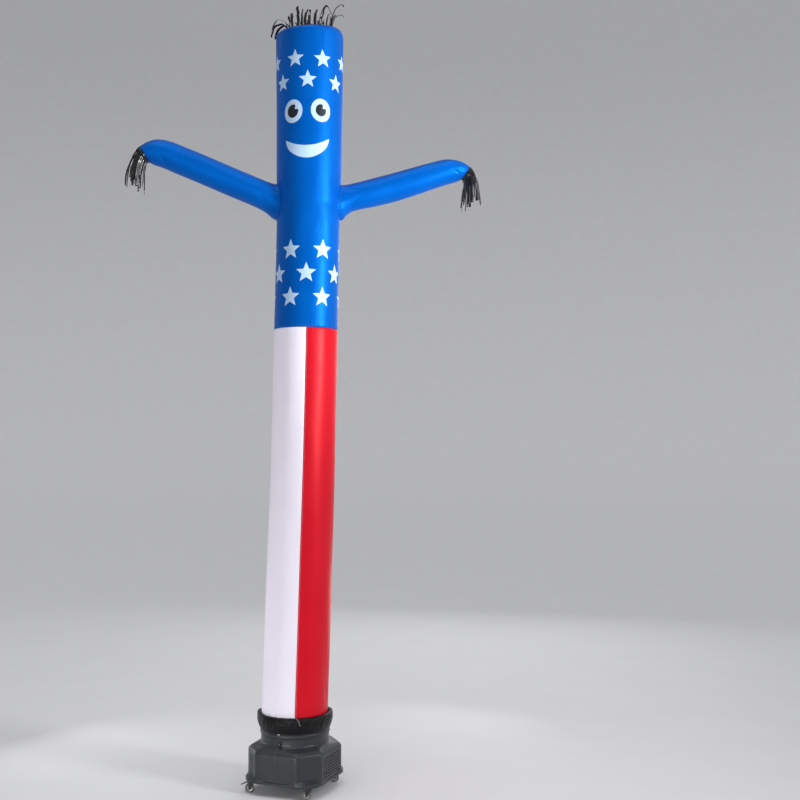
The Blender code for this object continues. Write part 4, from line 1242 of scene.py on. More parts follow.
@dataclass
class UpperSleeve:
    """The blue torso and head, one sewn tube with arm holes and a crown vent."""

    tube: InflatedTube
    arms: tuple[ArmSurface, ...]
    columns: int = 176
    rows: int = 170
    crown_rise: float = 0.040
    crown_draw: float = 0.030
    crown_tilt: float = math.radians(4.2)
    crown_nod: float = math.radians(7.2)
    vent_radius: float = 0.055
    vent_rise: float = 0.003
    shoulder_run: float = 0.055
    crown_run: float = 0.068
    map_radius: float = 0.147
    plug_sides: int = 48

    def lean_at(self, x: np.ndarray, y: np.ndarray) -> np.ndarray:
        """How much higher the leaning crown is at a place than at its middle."""
        across = x - self.tube.centre(SHOULDER)
        return math.tan(self.crown_tilt) * across + math.tan(self.crown_nod) * y

    def crown_point(self, angle: np.ndarray, share: np.ndarray, lift: float = 0.0) -> np.ndarray:
        """Points on the crown: share 0 to 1 rounds the shoulder and 1 to 2 runs in to the vent."""
        base = self.tube.radius(SHOULDER) + self.tube.relief(angle, np.full_like(angle, SHOULDER))
        turn = np.clip(share, 0, 1) * math.pi / 2
        inward = np.clip(share - 1, 0, 1)
        rounded = base - self.crown_draw * (1 - np.cos(turn)) + lift * np.cos(turn)
        radius = rounded * (1 - inward) + self.vent_radius * inward
        gather = 0.5 * (ruffle(angle * 0.10, 0.034, 5) + ruffle(angle * 0.10, 0.021, 6))
        fold = 0.0022 * gather * bell(share - 0.92, 0.42)
        fold = fold + 0.0016 * ruffle(angle * 0.07, 0.017, 7) * bell(share - 1.75, 0.35)
        height = SHOULDER + self.crown_rise * np.sin(turn) + self.vent_rise * inward + lift * np.sin(turn)
        radius = radius + fold * np.cos(turn * 0.8)
        x = self.tube.centre(SHOULDER) + radius * np.sin(angle)
        y = -radius * np.cos(angle)
        height = height + np.sin(turn) * self.lean_at(x, y) + fold * np.sin(turn)
        return np.stack([x, y, height], -1)

    def surface(self) -> tuple[np.ndarray, np.ndarray]:
        """The sleeve's points and cloth map by row and column, from the border to the vent."""
        angle = np.linspace(0, TURN, self.columns + 1)
        heights = np.linspace(BORDER, SHOULDER, self.rows)
        wall = self.tube.point(angle[None, :], heights[:, None])
        shares = np.concatenate([np.linspace(0, 1, 13)[1:], np.linspace(1, 2, 12)[1:]])
        crown = self.crown_point(np.broadcast_to(angle, (len(shares), len(angle))), shares[:, None])
        run = np.where(
            shares <= 1, shares * self.shoulder_run, self.shoulder_run + (shares - 1) * self.crown_run
        )
        along = np.concatenate([heights, SHOULDER + run])
        flat = paired(angle[None, :] * self.map_radius, along[:, None])
        return np.concatenate([wall, crown]), flat

    def arm_cutter(self, arm: ArmSurface) -> Piece:
        """A closed plug the shape of an arm's root, a little smaller than the arm."""
        turn = np.linspace(0, TURN, self.plug_sides + 1)[:-1]
        along = np.linspace(0.02, ROOT_REACH, 12)
        grid = arm.point(turn[None, :], along[:, None], -0.0022)
        faces = quads(len(along), len(turn)) + caps(len(along), len(turn))
        return facing_out(mesh_object("arm_plug", grid.reshape(-1, 3), faces, BLUE, smooth=False))

    def build(self) -> Piece:
        """Builds the sleeve, cuts its arm holes and dresses it."""
        grid, flat = self.surface()
        sleeve = thickened(grid_object("upper_sleeve_cloth", grid, flat, BLUE, wrap=True))
        cut(sleeve, [self.arm_cutter(arm) for arm in self.arms])
        return finished(sleeve, BLUE, "upper_sleeve")


@dataclass
class Arm:
    """A tapered blue arm, sewn to the torso at its root and open at its mouth."""

    name: str
    surface: ArmSurface
    columns: int = 96
    rows: int = 130
    flare: float = 0.0036
    map_radius: float = 0.062

    def seam_lift(self, turn: np.ndarray, from_root: np.ndarray) -> np.ndarray:
        """How the cloth flares out and puckers where it is sewn on."""
        pucker = 0.0006 * ruffle(turn * 0.065, 0.021, 17) * bell(from_root - 0.020, 0.014)
        return self.flare * np.exp(-from_root / 0.0120) + pucker

    def build(self) -> Piece:
        """Builds the arm's cloth."""
        turn = np.linspace(0, TURN, self.columns + 1)
        start = self.surface.root(turn, self.flare)
        share = np.linspace(0, 1, self.rows)[:, None] ** 1.25
        along = start[None, :] * (1 - share) + self.surface.length * share
        lift = self.seam_lift(turn[None, :], along - start[None, :])
        grid = self.surface.point(np.broadcast_to(turn, along.shape), along, lift)
        flat = paired(turn[None, :] * self.map_radius, along)
        made = grid_object(self.name + "_cloth", grid, flat, BLUE, wrap=True, flip=self.surface.side > 0)
        return finished(thickened(made), BLUE, self.name)

    def stitches(self) -> list[StitchRow]:
        """Two rows at the root and one at the mouth's hem."""

        def at_root(offset: float) -> Line:
            """A line round the root, offset along the arm."""

            def place(share: np.ndarray, lift: float) -> np.ndarray:
                turn = share * TURN
                from_root = np.full_like(turn, offset)
                along = self.surface.root(turn, self.flare) + from_root
                return self.surface.point(turn, along, lift + self.seam_lift(turn, from_root))

            return place

        def at_mouth(share: np.ndarray, lift: float) -> np.ndarray:
            """A line round the hem."""
            return self.surface.point(share * TURN, np.full_like(share, self.surface.length - HEM), lift)

        return [StitchRow(at_root(0.0065), 0.44), StitchRow(at_root(0.0125), 0.42), StitchRow(at_mouth, 0.29)]


@dataclass
class LegPanel:
    """One of the two long panels of the leg, from the front seam to the back seam."""

    name: str
    finish: Finish
    first: float
    last: float
    tube: InflatedTube
    columns: int = 84
    rows: int = 214
    map_radius: float = 0.1445

    def build(self) -> Piece:
        """Builds the panel's cloth."""
        angle = np.linspace(self.first, self.last, self.columns + 1)
        heights = np.linspace(TUBE_BOTTOM, BORDER, self.rows)
        grid = self.tube.point(angle[None, :], heights[:, None])
        flat = paired(angle[None, :] * self.map_radius, heights[:, None])
        made = grid_object(self.name + "_cloth", grid, flat, self.finish)
        return finished(thickened(made), self.finish, self.name)


@dataclass
class Collar:
    """The black skirt, gathered over the outlet's rim and gripping the band below it.

    Attributes:
        rows: Height, shift of the middle, radius and share of the pleats, from its top edge to its hem.
        folds: Angle, row, drift, length and depth of each fold.
        ears: Angle, half width and size of the two places where it stands up.
        radius_about: Its usual radius, which turns angles into lengths of gathering.
    """

    rows: tuple[tuple[float, float, float, float], ...] = (
        (0.3345, -0.001, 0.1485, 0.0),
        (0.3360, -0.001, 0.1530, 0.4),
        (0.3348, 0.000, 0.1598, 0.9),
        (0.3286, 0.000, 0.1650, 1.0),
        (0.3180, 0.000, 0.1662, 1.0),
        (0.3050, 0.000, 0.1656, 0.8),
        (0.2920, 0.000, 0.1632, 0.6),
        (0.2800, 0.000, 0.1594, 0.4),
        (0.2725, 0.000, 0.1562, 0.2),
        (0.2685, 0.000, 0.1543, 0.1),
        (0.2660, 0.000, 0.1534, 0.0),
    )
    folds: tuple[tuple[float, float, float, float, float], ...] = (
        (-62.0, 2.6, 0.030, 0.55, 0.0022),
        (-48.0, 3.6, 0.036, 0.40, -0.0018),
        (-36.0, 3.0, 0.030, 0.60, 0.0016),
        (52.0, 2.8, -0.028, 0.55, 0.0024),
        (66.0, 3.8, -0.034, 0.45, -0.0022),
        (34.0, 2.6, -0.026, 0.50, 0.0014),
        (-8.0, 4.4, 0.030, 0.60, -0.0014),
        (12.0, 4.6, -0.030, 0.60, -0.0014),
        (120.0, 3.2, 0.030, 0.50, 0.0022),
        (-130.0, 3.0, -0.032, 0.50, 0.0022),
        (172.0, 3.4, 0.030, 0.50, -0.0020),
    )
    ears: tuple[tuple[float, float, float], ...] = ((-96.0, 0.26, 1.0), (88.0, 0.22, 0.7))
    radius_about: float = 0.155
    fold_radius: float = 0.165
    map_radius: float = 0.175
    pleat_depth: float = 0.0014
    pleats: int = 11
    columns: int = 288
    fine_rows: int = 64

    def __post_init__(self) -> None:
        """Keeps the rows as smooth curves over their order."""
        order = list(range(len(self.rows)))
        curves = [SmoothCurve(order, column) for column in zip(*self.rows)]
        self.height, self.centre, self.radius, self.pleat = curves

    def point(self, angle: np.ndarray, down: np.ndarray, lift: float = 0.0) -> np.ndarray:
        """Points on the collar; down runs from 0 at its top edge to the last row at its hem."""
        wave = np.sin(self.pleats * angle) + 0.6 * np.sin(7 * angle + 1.3)
        radius = self.radius(down) + self.pleat(down) * self.pleat_depth * wave * 0.5
        top = ruffle(angle * self.radius_about, 0.018, 41) * bell(down - 2.0, 1.3)
        low = ruffle(angle * self.radius_about, 0.015, 42) * bell(down - 8.4, 1.6)
        slant = ruffle(angle * self.radius_about + down * 0.004, 0.036, 43) * bell(down - 5.0, 2.6)
        radius = radius + 0.0012 * top + 0.0010 * low + 0.0012 * slant + lift
        for around_deg, middle, drift, width, depth in self.folds:
            away = turned_delta(
                angle, math.radians(around_deg)
            ) - drift / self.fold_radius * (down - middle) * 2.4
            radius = radius + depth * bell(away * self.fold_radius, 0.0075) * bell(down - middle, 3.0 * width)
        ear = sum(
            size * bell(turned_delta(angle, math.radians(at_deg)), wide) for at_deg, wide, size in self.ears
        )
        radius = radius + 0.0030 * ear * bell(down - 1.9, 1.2)
        rise = 0.0045 * ear + 0.0008 * ruffle(angle * self.radius_about, 0.024, 44)
        height = self.height(down) + rise * bell(down - 1.4, 1.3)
        return round_axis(BLOWER_X + self.centre(down), radius, angle, height)

    def build(self) -> Piece:
        """Builds the collar's cloth."""
        angle = np.linspace(0, TURN, self.columns + 1)
        down = np.linspace(len(self.rows) - 1, 0, self.fine_rows)
        grid = self.point(angle[None, :], down[:, None])
        flat = paired(angle[None, :] * self.map_radius, down[:, None] * -0.009)
        made = grid_object("base_collar_cloth", grid, flat, BLACK, wrap=True)
        return finished(thickened(made), BLACK, "base_collar")

    def tie(self) -> Piece:
        """The short free end of the tie: a narrow tape, flat on the collar and curling off it."""
        share, half = np.linspace(0, 1, 22), 0.0021
        angle = math.radians(1.2) + 0.128 * share + 0.012 * np.sin(5.0 * share)
        down = 1.7 + 3.3 * share
        lift = 0.0009 + 0.0030 * share**2.2
        middle = self.point(angle, down, lift)
        run = np.gradient(middle, axis=0)
        out = self.point(angle, down, lift + 0.01) - middle
        side = np.cross(run, out)
        side = side / np.linalg.norm(side, axis=1)[:, None]
        wide = np.linspace(-1, 1, 5)[:, None, None] * half * side[None]
        grid = middle[None] + wide
        flat = paired(np.linspace(0, 2 * half, 5)[:, None], share[None, :] * 0.024)
        # Its grey finish is partly painted highlight: lighter than black nylon to show the tie's glint.
        made = thickened(grid_object("tie_tape", grid, flat, GLINT_GREY_TAPE), 0.0006)
        return finished(made, GLINT_GREY_TAPE, "collar_tie")


# --- the streamers -----------------------------------------------------------------------------


@dataclass(frozen=True)
class Streamer:
    """One narrow strip of foil along a curve.

    Attributes:
        PLACES: Where its points are across its width.
        path: Its start, two pulls and end, as a cubic curve.
        across: The direction of its width at the start.
        half: Half its width.
        twist_deg: How much it turns about itself on its way.
        ripple: How far it waves from side to side.
        seed: Picks the waves.
    """

    PLACES = (-1.0, -0.36, 0.36, 1.0)

    path: tuple[Vector, Vector, Vector, Vector]
    across: Vector
    half: float
    twist_deg: float
    ripple: float
    seed: int

    def middle(self, t: float) -> Vector:
        """A point on the curve."""
        a, b, c, d = self.path
        u = 1 - t
        return a * u**3 + b * (3 * u * u * t) + c * (3 * u * t * t) + d * t**3

    def part(self, steps: int = 26) -> Part:
        """Its points and faces, four points across."""
        draw = random.Random(self.seed)
        phase, curl = draw.uniform(0, TURN), draw.uniform(0.15, 0.45)
        waves = draw.uniform(1.6, 3.2)
        side = self.across.normalized()
        points = []
        for k in range(steps + 1):
            t = k / steps
            along = (self.middle(min(1.0, t + 0.02)) - self.middle(max(0.0, t - 0.02))).normalized()
            side = (side - along * side.dot(along)).normalized()
            turn = Matrix.Rotation(math.radians(self.twist_deg / steps), 3, along)
            if k:
                side = turn @ side
            face = along.cross(side)
            sway = self.ripple * min(1.0, 2.5 * t) * math.sin(TURN * waves * t + phase)
            centre = self.middle(t) + face * sway + side * (0.4 * sway)
            width = self.half * (1.0 - 0.18 * t)
            for place in self.PLACES:
                dish = face * (curl * width * (1 - place * place))
                points.append(centre + side * (width * place) + dish)
        return np.array([tuple(p) for p in points]), quads(steps + 1, len(self.PLACES), closed=False)


@dataclass
class HairFringe:
    """The fringe round the crown, blown upright by the vent's air.

    Attributes:
        shapes: Rise, reach outwards and reach aside of the strips, in order round the crown.
        folded: Number, rise, reach outwards, fall of the tip and reach aside of those that fold over.
    """

    sleeve: UpperSleeve
    band_radius: float = 0.100
    band_high: float = 0.008
    strips: int = 30
    shapes: tuple[tuple[float, float, float], ...] = (
        (0.096, -0.002, 0.004),
        (0.088, 0.004, 0.006),
        (0.070, 0.008, 0.002),
        (0.074, 0.012, -0.004),
        (0.068, 0.020, 0.006),
        (0.100, 0.026, -0.008),
        (0.084, 0.014, 0.004),
        (0.096, 0.004, 0.010),
        (0.084, 0.000, -0.006),
        (0.094, 0.008, 0.008),
        (0.074, 0.016, 0.000),
        (0.060, 0.014, 0.004),
        (0.066, 0.008, -0.004),
        (0.080, 0.006, 0.004),
        (0.088, 0.000, -0.004),
        (0.092, 0.002, -0.004),
    )
    folded: tuple[tuple[int, float, float, float, float], ...] = (
        (2, 0.092, 0.030, 0.046, 0.040),
        (6, 0.096, 0.062, 0.004, -0.006),
        (8, 0.072, 0.054, 0.006, 0.008),
        (12, 0.080, 0.030, 0.040, 0.020),
        (20, 0.052, 0.074, 0.066, 0.006),
        (22, 0.048, 0.076, 0.068, -0.008),
        (23, 0.058, 0.070, 0.060, 0.004),
    )

    def crown_height(self, x: float, y: float) -> float:
        """Height of the crown under a place."""
        sleeve = self.sleeve
        flat_radius = float(sleeve.tube.radius(SHOULDER)) - sleeve.crown_draw
        from_middle = math.hypot(x - float(sleeve.tube.centre(SHOULDER)), y)
        share = (flat_radius - from_middle) / (flat_radius - sleeve.vent_radius)
        lean = float(sleeve.lean_at(np.array(x), np.array(y)))
        return SHOULDER + sleeve.crown_rise + sleeve.vent_rise * share + lean

    def base(self, angle: float, radius: float) -> Vector:
        """A point on the crown."""
        x = float(self.sleeve.tube.centre(SHOULDER)) + radius * math.sin(angle)
        y = -radius * math.cos(angle)
        return Vector((x, y, self.crown_height(x, y)))

    def streamer(self, index: int) -> Streamer:
        """One strip of the fringe: upright, or folded over if the list says so."""
        draw = random.Random(700 + index)
        angle = TURN * (index + draw.uniform(-0.35, 0.35)) / self.strips
        rise, out_by, aside = self.shapes[round(angle / TURN * len(self.shapes)) % len(self.shapes)]
        fall = 0.0
        rise *= draw.uniform(0.66, 1.0)
        out_by += draw.uniform(-0.004, 0.006)
        aside += draw.uniform(-0.008, 0.008)
        twist = draw.choice((-1, 1)) * draw.uniform(10, 80)
        own = {k: shape for k, *shape in self.folded}.get(index)
        if own:
            rise, out_by, fall, aside = own
        out = Vector((math.sin(angle), -math.cos(angle), 0.0))
        along = Vector((math.cos(angle), math.sin(angle), 0.0))
        up = Vector((0.0, 0.0, 1.0))
        start = self.base(angle, self.band_radius) + up * 0.0015
        away = out * out_by + along * aside
        bow = along * draw.uniform(-0.018, 0.018) + out * draw.uniform(-0.006, 0.010)
        pull = start + up * (rise * (1.12 if own else 0.55)) + bow
        reach = start + up * (rise * (1.20 if own else 1.05)) + away * (0.95 if own else 0.45) - bow * 0.6
        end = start + up * (rise - fall) + away
        half, ripple = draw.uniform(0.0058, 0.0074), draw.uniform(0.0006, 0.0018)
        return Streamer((start, pull, reach, end), along, half, twist, ripple, 900 + index)

    def build(self) -> Piece:
        """Builds the sewn band and its strips."""
        count = 120
        low, high = [], []
        for k in range(count):
            p = self.base(TURN * k / count, self.band_radius)
            low.append(tuple(p + Vector((0, 0, 0.0004))))
            high.append(tuple(p + Vector((0, 0, self.band_high))))
        parts = [(np.array(low + high), quads(2, count))]
        parts += [self.streamer(k).part() for k in range(self.strips)]
        made = thickened(joined("hair_streamers", parts, FOIL), FOIL_THICK)
        return finished(made, FOIL, "hair_fringe")


@dataclass
class Tassel:
    """The fringe sewn round an arm's mouth; its strips turn to hang down.

    Attributes:
        shapes: Drop, reach outwards and reach forwards of the tips, in order round the mouth.
        aside: How far every tip is blown along X.
    """

    name: str
    arm: ArmSurface
    shapes: tuple[tuple[float, float, float], ...] = (
        (0.150, 0.034, 0.060),
        (0.118, 0.062, 0.044),
        (0.172, 0.074, 0.018),
        (0.140, 0.088, -0.010),
        (0.106, 0.066, -0.038),
        (0.160, 0.040, -0.058),
        (0.134, 0.012, -0.044),
        (0.176, -0.004, -0.016),
        (0.182, 0.008, 0.014),
        (0.164, 0.022, 0.042),
    )
    strips: int = 18
    aside: float = 0.0

    @property
    def forward(self) -> tuple[float, float, float]:
        """The way the arm points at its mouth."""
        lean = float(self.arm.lean(self.arm.length))
        return (self.arm.side * math.cos(lean), 0.0, -self.arm.side * math.sin(lean))

    def streamer(self, index: int) -> Streamer:
        """One strip, between the usual shapes on either side of it."""
        draw = random.Random(300 + index + (50 if self.arm.side > 0 else 0))
        share = (index + draw.uniform(-0.3, 0.3)) / self.strips
        turn = share * TURN
        place = share * len(self.shapes)
        low, part = int(place) % len(self.shapes), place - int(place)
        a, b = self.shapes[low], self.shapes[(low + 1) % len(self.shapes)]
        drop, out, near = (p * (1 - part) + q * part for p, q in zip(a, b))
        drop = min(0.180, drop * draw.uniform(0.80, 1.06))
        length = self.arm.length
        root = Vector(self.arm.point(np.array(turn), np.array(length), -CLOTH / 2).tolist())
        nearby = Vector(self.arm.point(np.array(turn + 0.05), np.array(length), -CLOTH / 2).tolist())
        centre = Vector((float(self.arm.x(length)), 0.0, float(self.arm.z(length))))
        forward = Vector(self.forward)
        tip = centre + Vector((self.arm.side * out + self.aside, -near + draw.uniform(-0.006, 0.006), -drop))
        start = root + forward * 0.0006
        above = Vector((tip.x, tip.y, (tip.z + root.z) / 2))
        path = (start, start + forward * 0.026, above, tip)
        twist = draw.choice((-1, 1)) * draw.uniform(0, 36)
        half, ripple = draw.uniform(0.0058, 0.0072), draw.uniform(0.0003, 0.0012)
        return Streamer(path, nearby - root, half, twist, ripple, 500 + index)

    def build(self) -> Piece:
        """Builds the sewn band and its strips."""
        count = 96
        turn = np.linspace(0, TURN, count + 1)[:-1]
        length = self.arm.length
        edge = self.arm.point(turn, np.full_like(turn, length), -CLOTH / 2)
        forward = np.array(self.forward)
        points = np.concatenate([edge + forward * 0.0003, edge + forward * 0.011])
        faces = quads(2, count)
        if self.arm.side > 0:
            faces = [tuple(reversed(f)) for f in faces]
        parts = [(points, faces)] + [self.streamer(k).part() for k in range(self.strips)]
        made = thickened(joined(self.name + "_streamers", parts, FOIL), FOIL_THICK)
        return finished(made, FOIL, self.name)


# --- the blower and its casters ----------------------------------------------------------------


def lathe(
    profile: Sequence[tuple[float, float]], sides: int, ring: bool = False, flutes: float = 0.0
) -> Part:
    """A shape turned about Z.

    Args:
        profile: Radius and height of each row, going up its outside.
        sides: Columns round it.
        ring: Joins the last row to the first, for a ring; otherwise both ends are capped.
        flutes: Share of the radius by which twelve flutes stand out.

    Returns:
        Its points and faces.
    """
    turn = np.arange(sides) * TURN / sides
    wave = 1.0 + flutes * np.cos(12 * turn)
    rows = [
        np.stack([r * wave * np.cos(turn), r * wave * np.sin(turn), np.full(sides, z)], 1)
        for r, z in profile
    ]
    points = np.concatenate(rows)
    if ring:
        return points, [tuple(i % len(points) for i in face) for face in quads(len(rows) + 1, sides)]
    return points, quads(len(rows), sides) + caps(len(rows), sides)


def slab(outline: Sequence[tuple[float, float]], thickness: float, bevel: float) -> Part:
    """A flat plate standing in the XZ plane, its edges softened.

    Args:
        outline: Its (x, z) corners.
        thickness: Its thickness along Y.
        bevel: How far the edges are cut back.

    Returns:
        Its points and faces.
    """
    edge = np.array(outline)
    middle = edge.mean(0)
    size = np.abs(edge - middle).max()
    inner = middle + (edge - middle) * (1 - bevel / size)
    half = thickness / 2
    rings = ((inner, -half), (edge, -half + bevel), (edge, half - bevel), (inner, half))
    points = np.concatenate([np.stack([o[:, 0], np.full(len(o), y), o[:, 1]], 1) for o, y in rings])
    return points, caps(4, len(edge), flip=True) + quads(4, len(edge), flip=True)


def moved(part: Part, matrix: Matrix) -> Part:
    """A part, turned and moved."""
    points, faces = part
    turn = np.array(matrix.to_3x3())
    return np.asarray(points) @ turn.T + np.array(matrix.to_translation()), faces


def cut_square(
    angle: np.ndarray, half: float | np.ndarray, corner: float | np.ndarray, crisp: float = 115.0
) -> np.ndarray:
    """Distance from the axis to the outline of a square with cut and softly rounded corners."""
    c, s = np.abs(np.cos(angle)), np.abs(np.sin(angle))
    sides = np.stack(np.broadcast_arrays(c / half, s / half, (c + s) / (2 * half - corner)))
    return (sides**crisp).sum(0) ** (-1 / crisp)


def rounded_square(angle: np.ndarray, half: float, corner: float) -> np.ndarray:
    """Distance from the axis to the outline of a square with round corners."""
    inner = half - corner
    c, s = np.abs(np.cos(angle)), np.abs(np.sin(angle))
    radius = half / np.maximum(c, s)
    along = inner * (c + s)
    rounded = along + np.sqrt(np.maximum(along * along - (2 * inner * inner - corner * corner), 0.0))
    return np.where(np.minimum(c, s) * radius <= inner, radius, rounded)


def on_blower(radius: np.ndarray, angle: np.ndarray, height: np.ndarray) -> np.ndarray:
    """Points round the blower's axis; angle 0 is its front face."""
    return round_axis(BLOWER_X, radius, angle + BLOWER_YAW, height)


@dataclass(frozen=True)
class SlotBlock:
    """A block of air slots on one face of the housing."""

    face_deg: float
    columns: int
    distance: float
    rows: int = 8
    middle: float = 0.120
    long: float = 0.0142
    high: float = 0.0055
    pitch_long: float = 0.0205
    pitch_high: float = 0.0115
    depth: float = 0.030

    def cutter(self) -> Piece:
        """One mesh of round-ended plugs, through the wall."""
        end = np.linspace(-math.pi / 2, math.pi / 2, 6)
        radius = self.high / 2
        reach = self.long / 2 - radius
        right = [(reach + radius * math.cos(a), radius * math.sin(a)) for a in end]
        left = [(-x, -z) for x, z in right]
        outline = right + left
        place = Matrix.Translation((BLOWER_X, 0.0, 0.0)) @ Matrix.Rotation(
            BLOWER_YAW + math.radians(self.face_deg), 4, "Z"
        )
        parts = []
        for column in range(self.columns):
            for row in range(self.rows):
                across = (column - (self.columns - 1) / 2) * self.pitch_long
                height = self.middle + (row - (self.rows - 1) / 2) * self.pitch_high
                shift = Matrix.Translation((across, -self.distance, height))
                parts.append(moved(slab(outline, self.depth, 0.00001), place @ shift))
        return facing_out(joined("slot_plugs", parts, GREY_PLASTIC, smooth=False))


@dataclass(frozen=True)
class HousingHalf:
    """One moulded half of the housing, from the front seam round to the back seam.

    Attributes:
        side: The side it is on.
        first_deg: Where its first seam is, from the front face.
        slots: Its blocks of air slots.
        seam: Depth of the groove at each seam.
        gap: Angle from a seam to the half's edge.
        lip: Width of the groove, and lip_gap the angle past it.
        rows: Height, roundness and size of each row, up the outside and down the inside.
        outside_rows: How many of them are on the outside.
    """

    side: str
    first_deg: float
    slots: tuple[SlotBlock, ...]
    columns: int = 124
    seam: float = 0.0007
    gap: float = 0.0010
    lip: float = 0.0042 / 0.160
    lip_gap: float = 0.0012
    outside_rows: int = 37
    rows: tuple[tuple[float, float, float], ...] = (
        (0.0640, 0.00, 0.1790),
        (0.0654, 0.00, 0.1800),
        (0.1000, 0.00, 0.1800),
        (0.1400, 0.00, 0.1800),
        (0.1740, 0.00, 0.1800),
        (0.1786, 0.00, 0.1796),
        (0.1824, 0.00, 0.1783),
        (0.1858, 0.00, 0.1760),
        (0.1890, 0.02, 0.1730),
        (0.1925, 0.05, 0.1699),
        (0.1965, 0.18, 0.1662),
        (0.2000, 0.38, 0.1626),
        (0.2032, 0.60, 0.1588),
        (0.2062, 0.82, 0.1553),
        (0.2092, 0.96, 0.1526),
        (0.2125, 1.00, 0.1510),
        (0.2165, 1.00, 0.1501),
        (0.2230, 1.00, 0.1497),
        (0.2330, 1.00, 0.1498),
        (0.2415, 1.00, 0.1501),
        (0.2445, 1.00, 0.1506),
        (0.2462, 1.00, 0.1518),
        (0.2476, 1.00, 0.1530),
        (0.2496, 1.00, 0.1536),
        (0.2560, 1.00, 0.1536),
        (0.2586, 1.00, 0.1532),
        (0.2604, 1.00, 0.1522),
        (0.2610, 1.00, 0.1510),
        (0.2610, 1.00, 0.1492),
        (0.3050, 1.00, 0.1492),
        (0.3050, 1.00, 0.1560),
        (0.3068, 1.00, 0.1588),
        (0.3100, 1.00, 0.1600),
        (0.3160, 1.00, 0.1600),
        (0.3200, 1.00, 0.1586),
        (0.3222, 1.00, 0.1556),
        (0.3225, 1.00, 0.1495),
        (0.3190, 1.00, 0.1459),
        (0.2135, 1.00, 0.1459),
        (0.2010, 0.55, 0.1545),
        (0.1925, 0.00, 0.1640),
        (0.1800, 0.00, 0.1755),
        (0.0640, 0.00, 0.1755),
    )

    def shell(self) -> Part:
        """The half's wall, closed at both seams."""
        rows = np.array(self.rows)
        steps = np.linspace(0.0, math.pi, self.columns + 1)
        near, far = self.lip + self.lip_gap, math.pi - self.lip - self.lip_gap
        angle = np.sort(
            [self.gap, near, *steps[1:-1], far, math.pi - self.gap]
        ) + math.radians(self.first_deg)
        groove = np.zeros_like(angle)
        groove[0] = groove[-1] = self.seam
        height, share, size = rows.T
        square = cut_square(angle[:, None], size[None, :], HOUSING_CUT * size[None, :] / HOUSING_HALF)
        outside = np.arange(len(rows)) < self.outside_rows
        radius = square * (1 - share) + size * share - groove[:, None] * outside
        points = on_blower(radius, angle[:, None], height[None, :])
        size = points.shape[:2]
        return points.reshape(-1, 3), quads(*size, flip=True) + caps(*size, flip=True)

    def build(self) -> Piece:
        """Builds the half and cuts its air slots."""
        half = facing_out(joined(f"housing_{self.side}_moulding", [self.shell()], GREY_PLASTIC, smooth=False))
        for block in self.slots:
            cut(half, [block.cutter()])
        half.data.shade_smooth()
        half.data.set_sharp_from_angle(angle=math.radians(28.0))
        return finished(half, GREY_PLASTIC, "housing_" + self.side)


@dataclass(frozen=True)
class BaseTray:
    """The floor of the housing, whose corners rise as ramped feet."""

    half: float = 0.183
    corner: float = 0.0925
    underside: float = 0.0530
    top: float = 0.0637
    tip_top: float = 0.0690
    wall_top: float = 0.0811
    columns: int = 288

    def build(self) -> Piece:
        """Builds the tray."""
        angle = np.linspace(0, TURN, self.columns + 1)[:-1]
        corner_share = np.maximum(0.0, 1 - (np.abs(np.degrees(angle) % 90 - 45) / 30) ** 2)
        edge = rounded_square(angle, self.half, self.corner)
        wall = np.minimum(cut_square(angle, HOUSING_HALF + 0.0006, HOUSING_CUT), edge - 0.0012)
        tip = self.top + (self.tip_top - self.top) * corner_share
        foot = self.top + (self.wall_top - self.top) * corner_share
        rings = [
            (edge - 0.0022, self.underside),
            (edge - 0.0006, self.underside + 0.0007),
            (edge, self.underside + 0.0022),
            (edge, tip - 0.0016),
            (edge - 0.0005, tip - 0.0005),
            (np.maximum(edge - 0.0016, wall + 0.0002), tip),
            (wall + 0.0001, np.maximum(foot, tip) + 0.0001),
            (wall, self.top),
        ]
        points = np.concatenate([on_blower(radius, angle, height) for radius, height in rings])
        faces = quads(len(rings), len(angle)) + caps(len(rings), len(angle))
        made = facing_out(joined("base_tray_moulding", [(points, faces)], GREY_PLASTIC))
        made.data.set_sharp_from_angle(angle=math.radians(40.0))
        return finished(made, GREY_PLASTIC, "base_tray")


class Corner(Enum):
    """The casters' corners, in order round the base."""

    FRONT = 0
    RIGHT = 1
    BACK = 2
    LEFT = 3

    @property
    def label(self) -> str:
        """The corner's name in the nodes and bodies."""
        return self.name.lower()


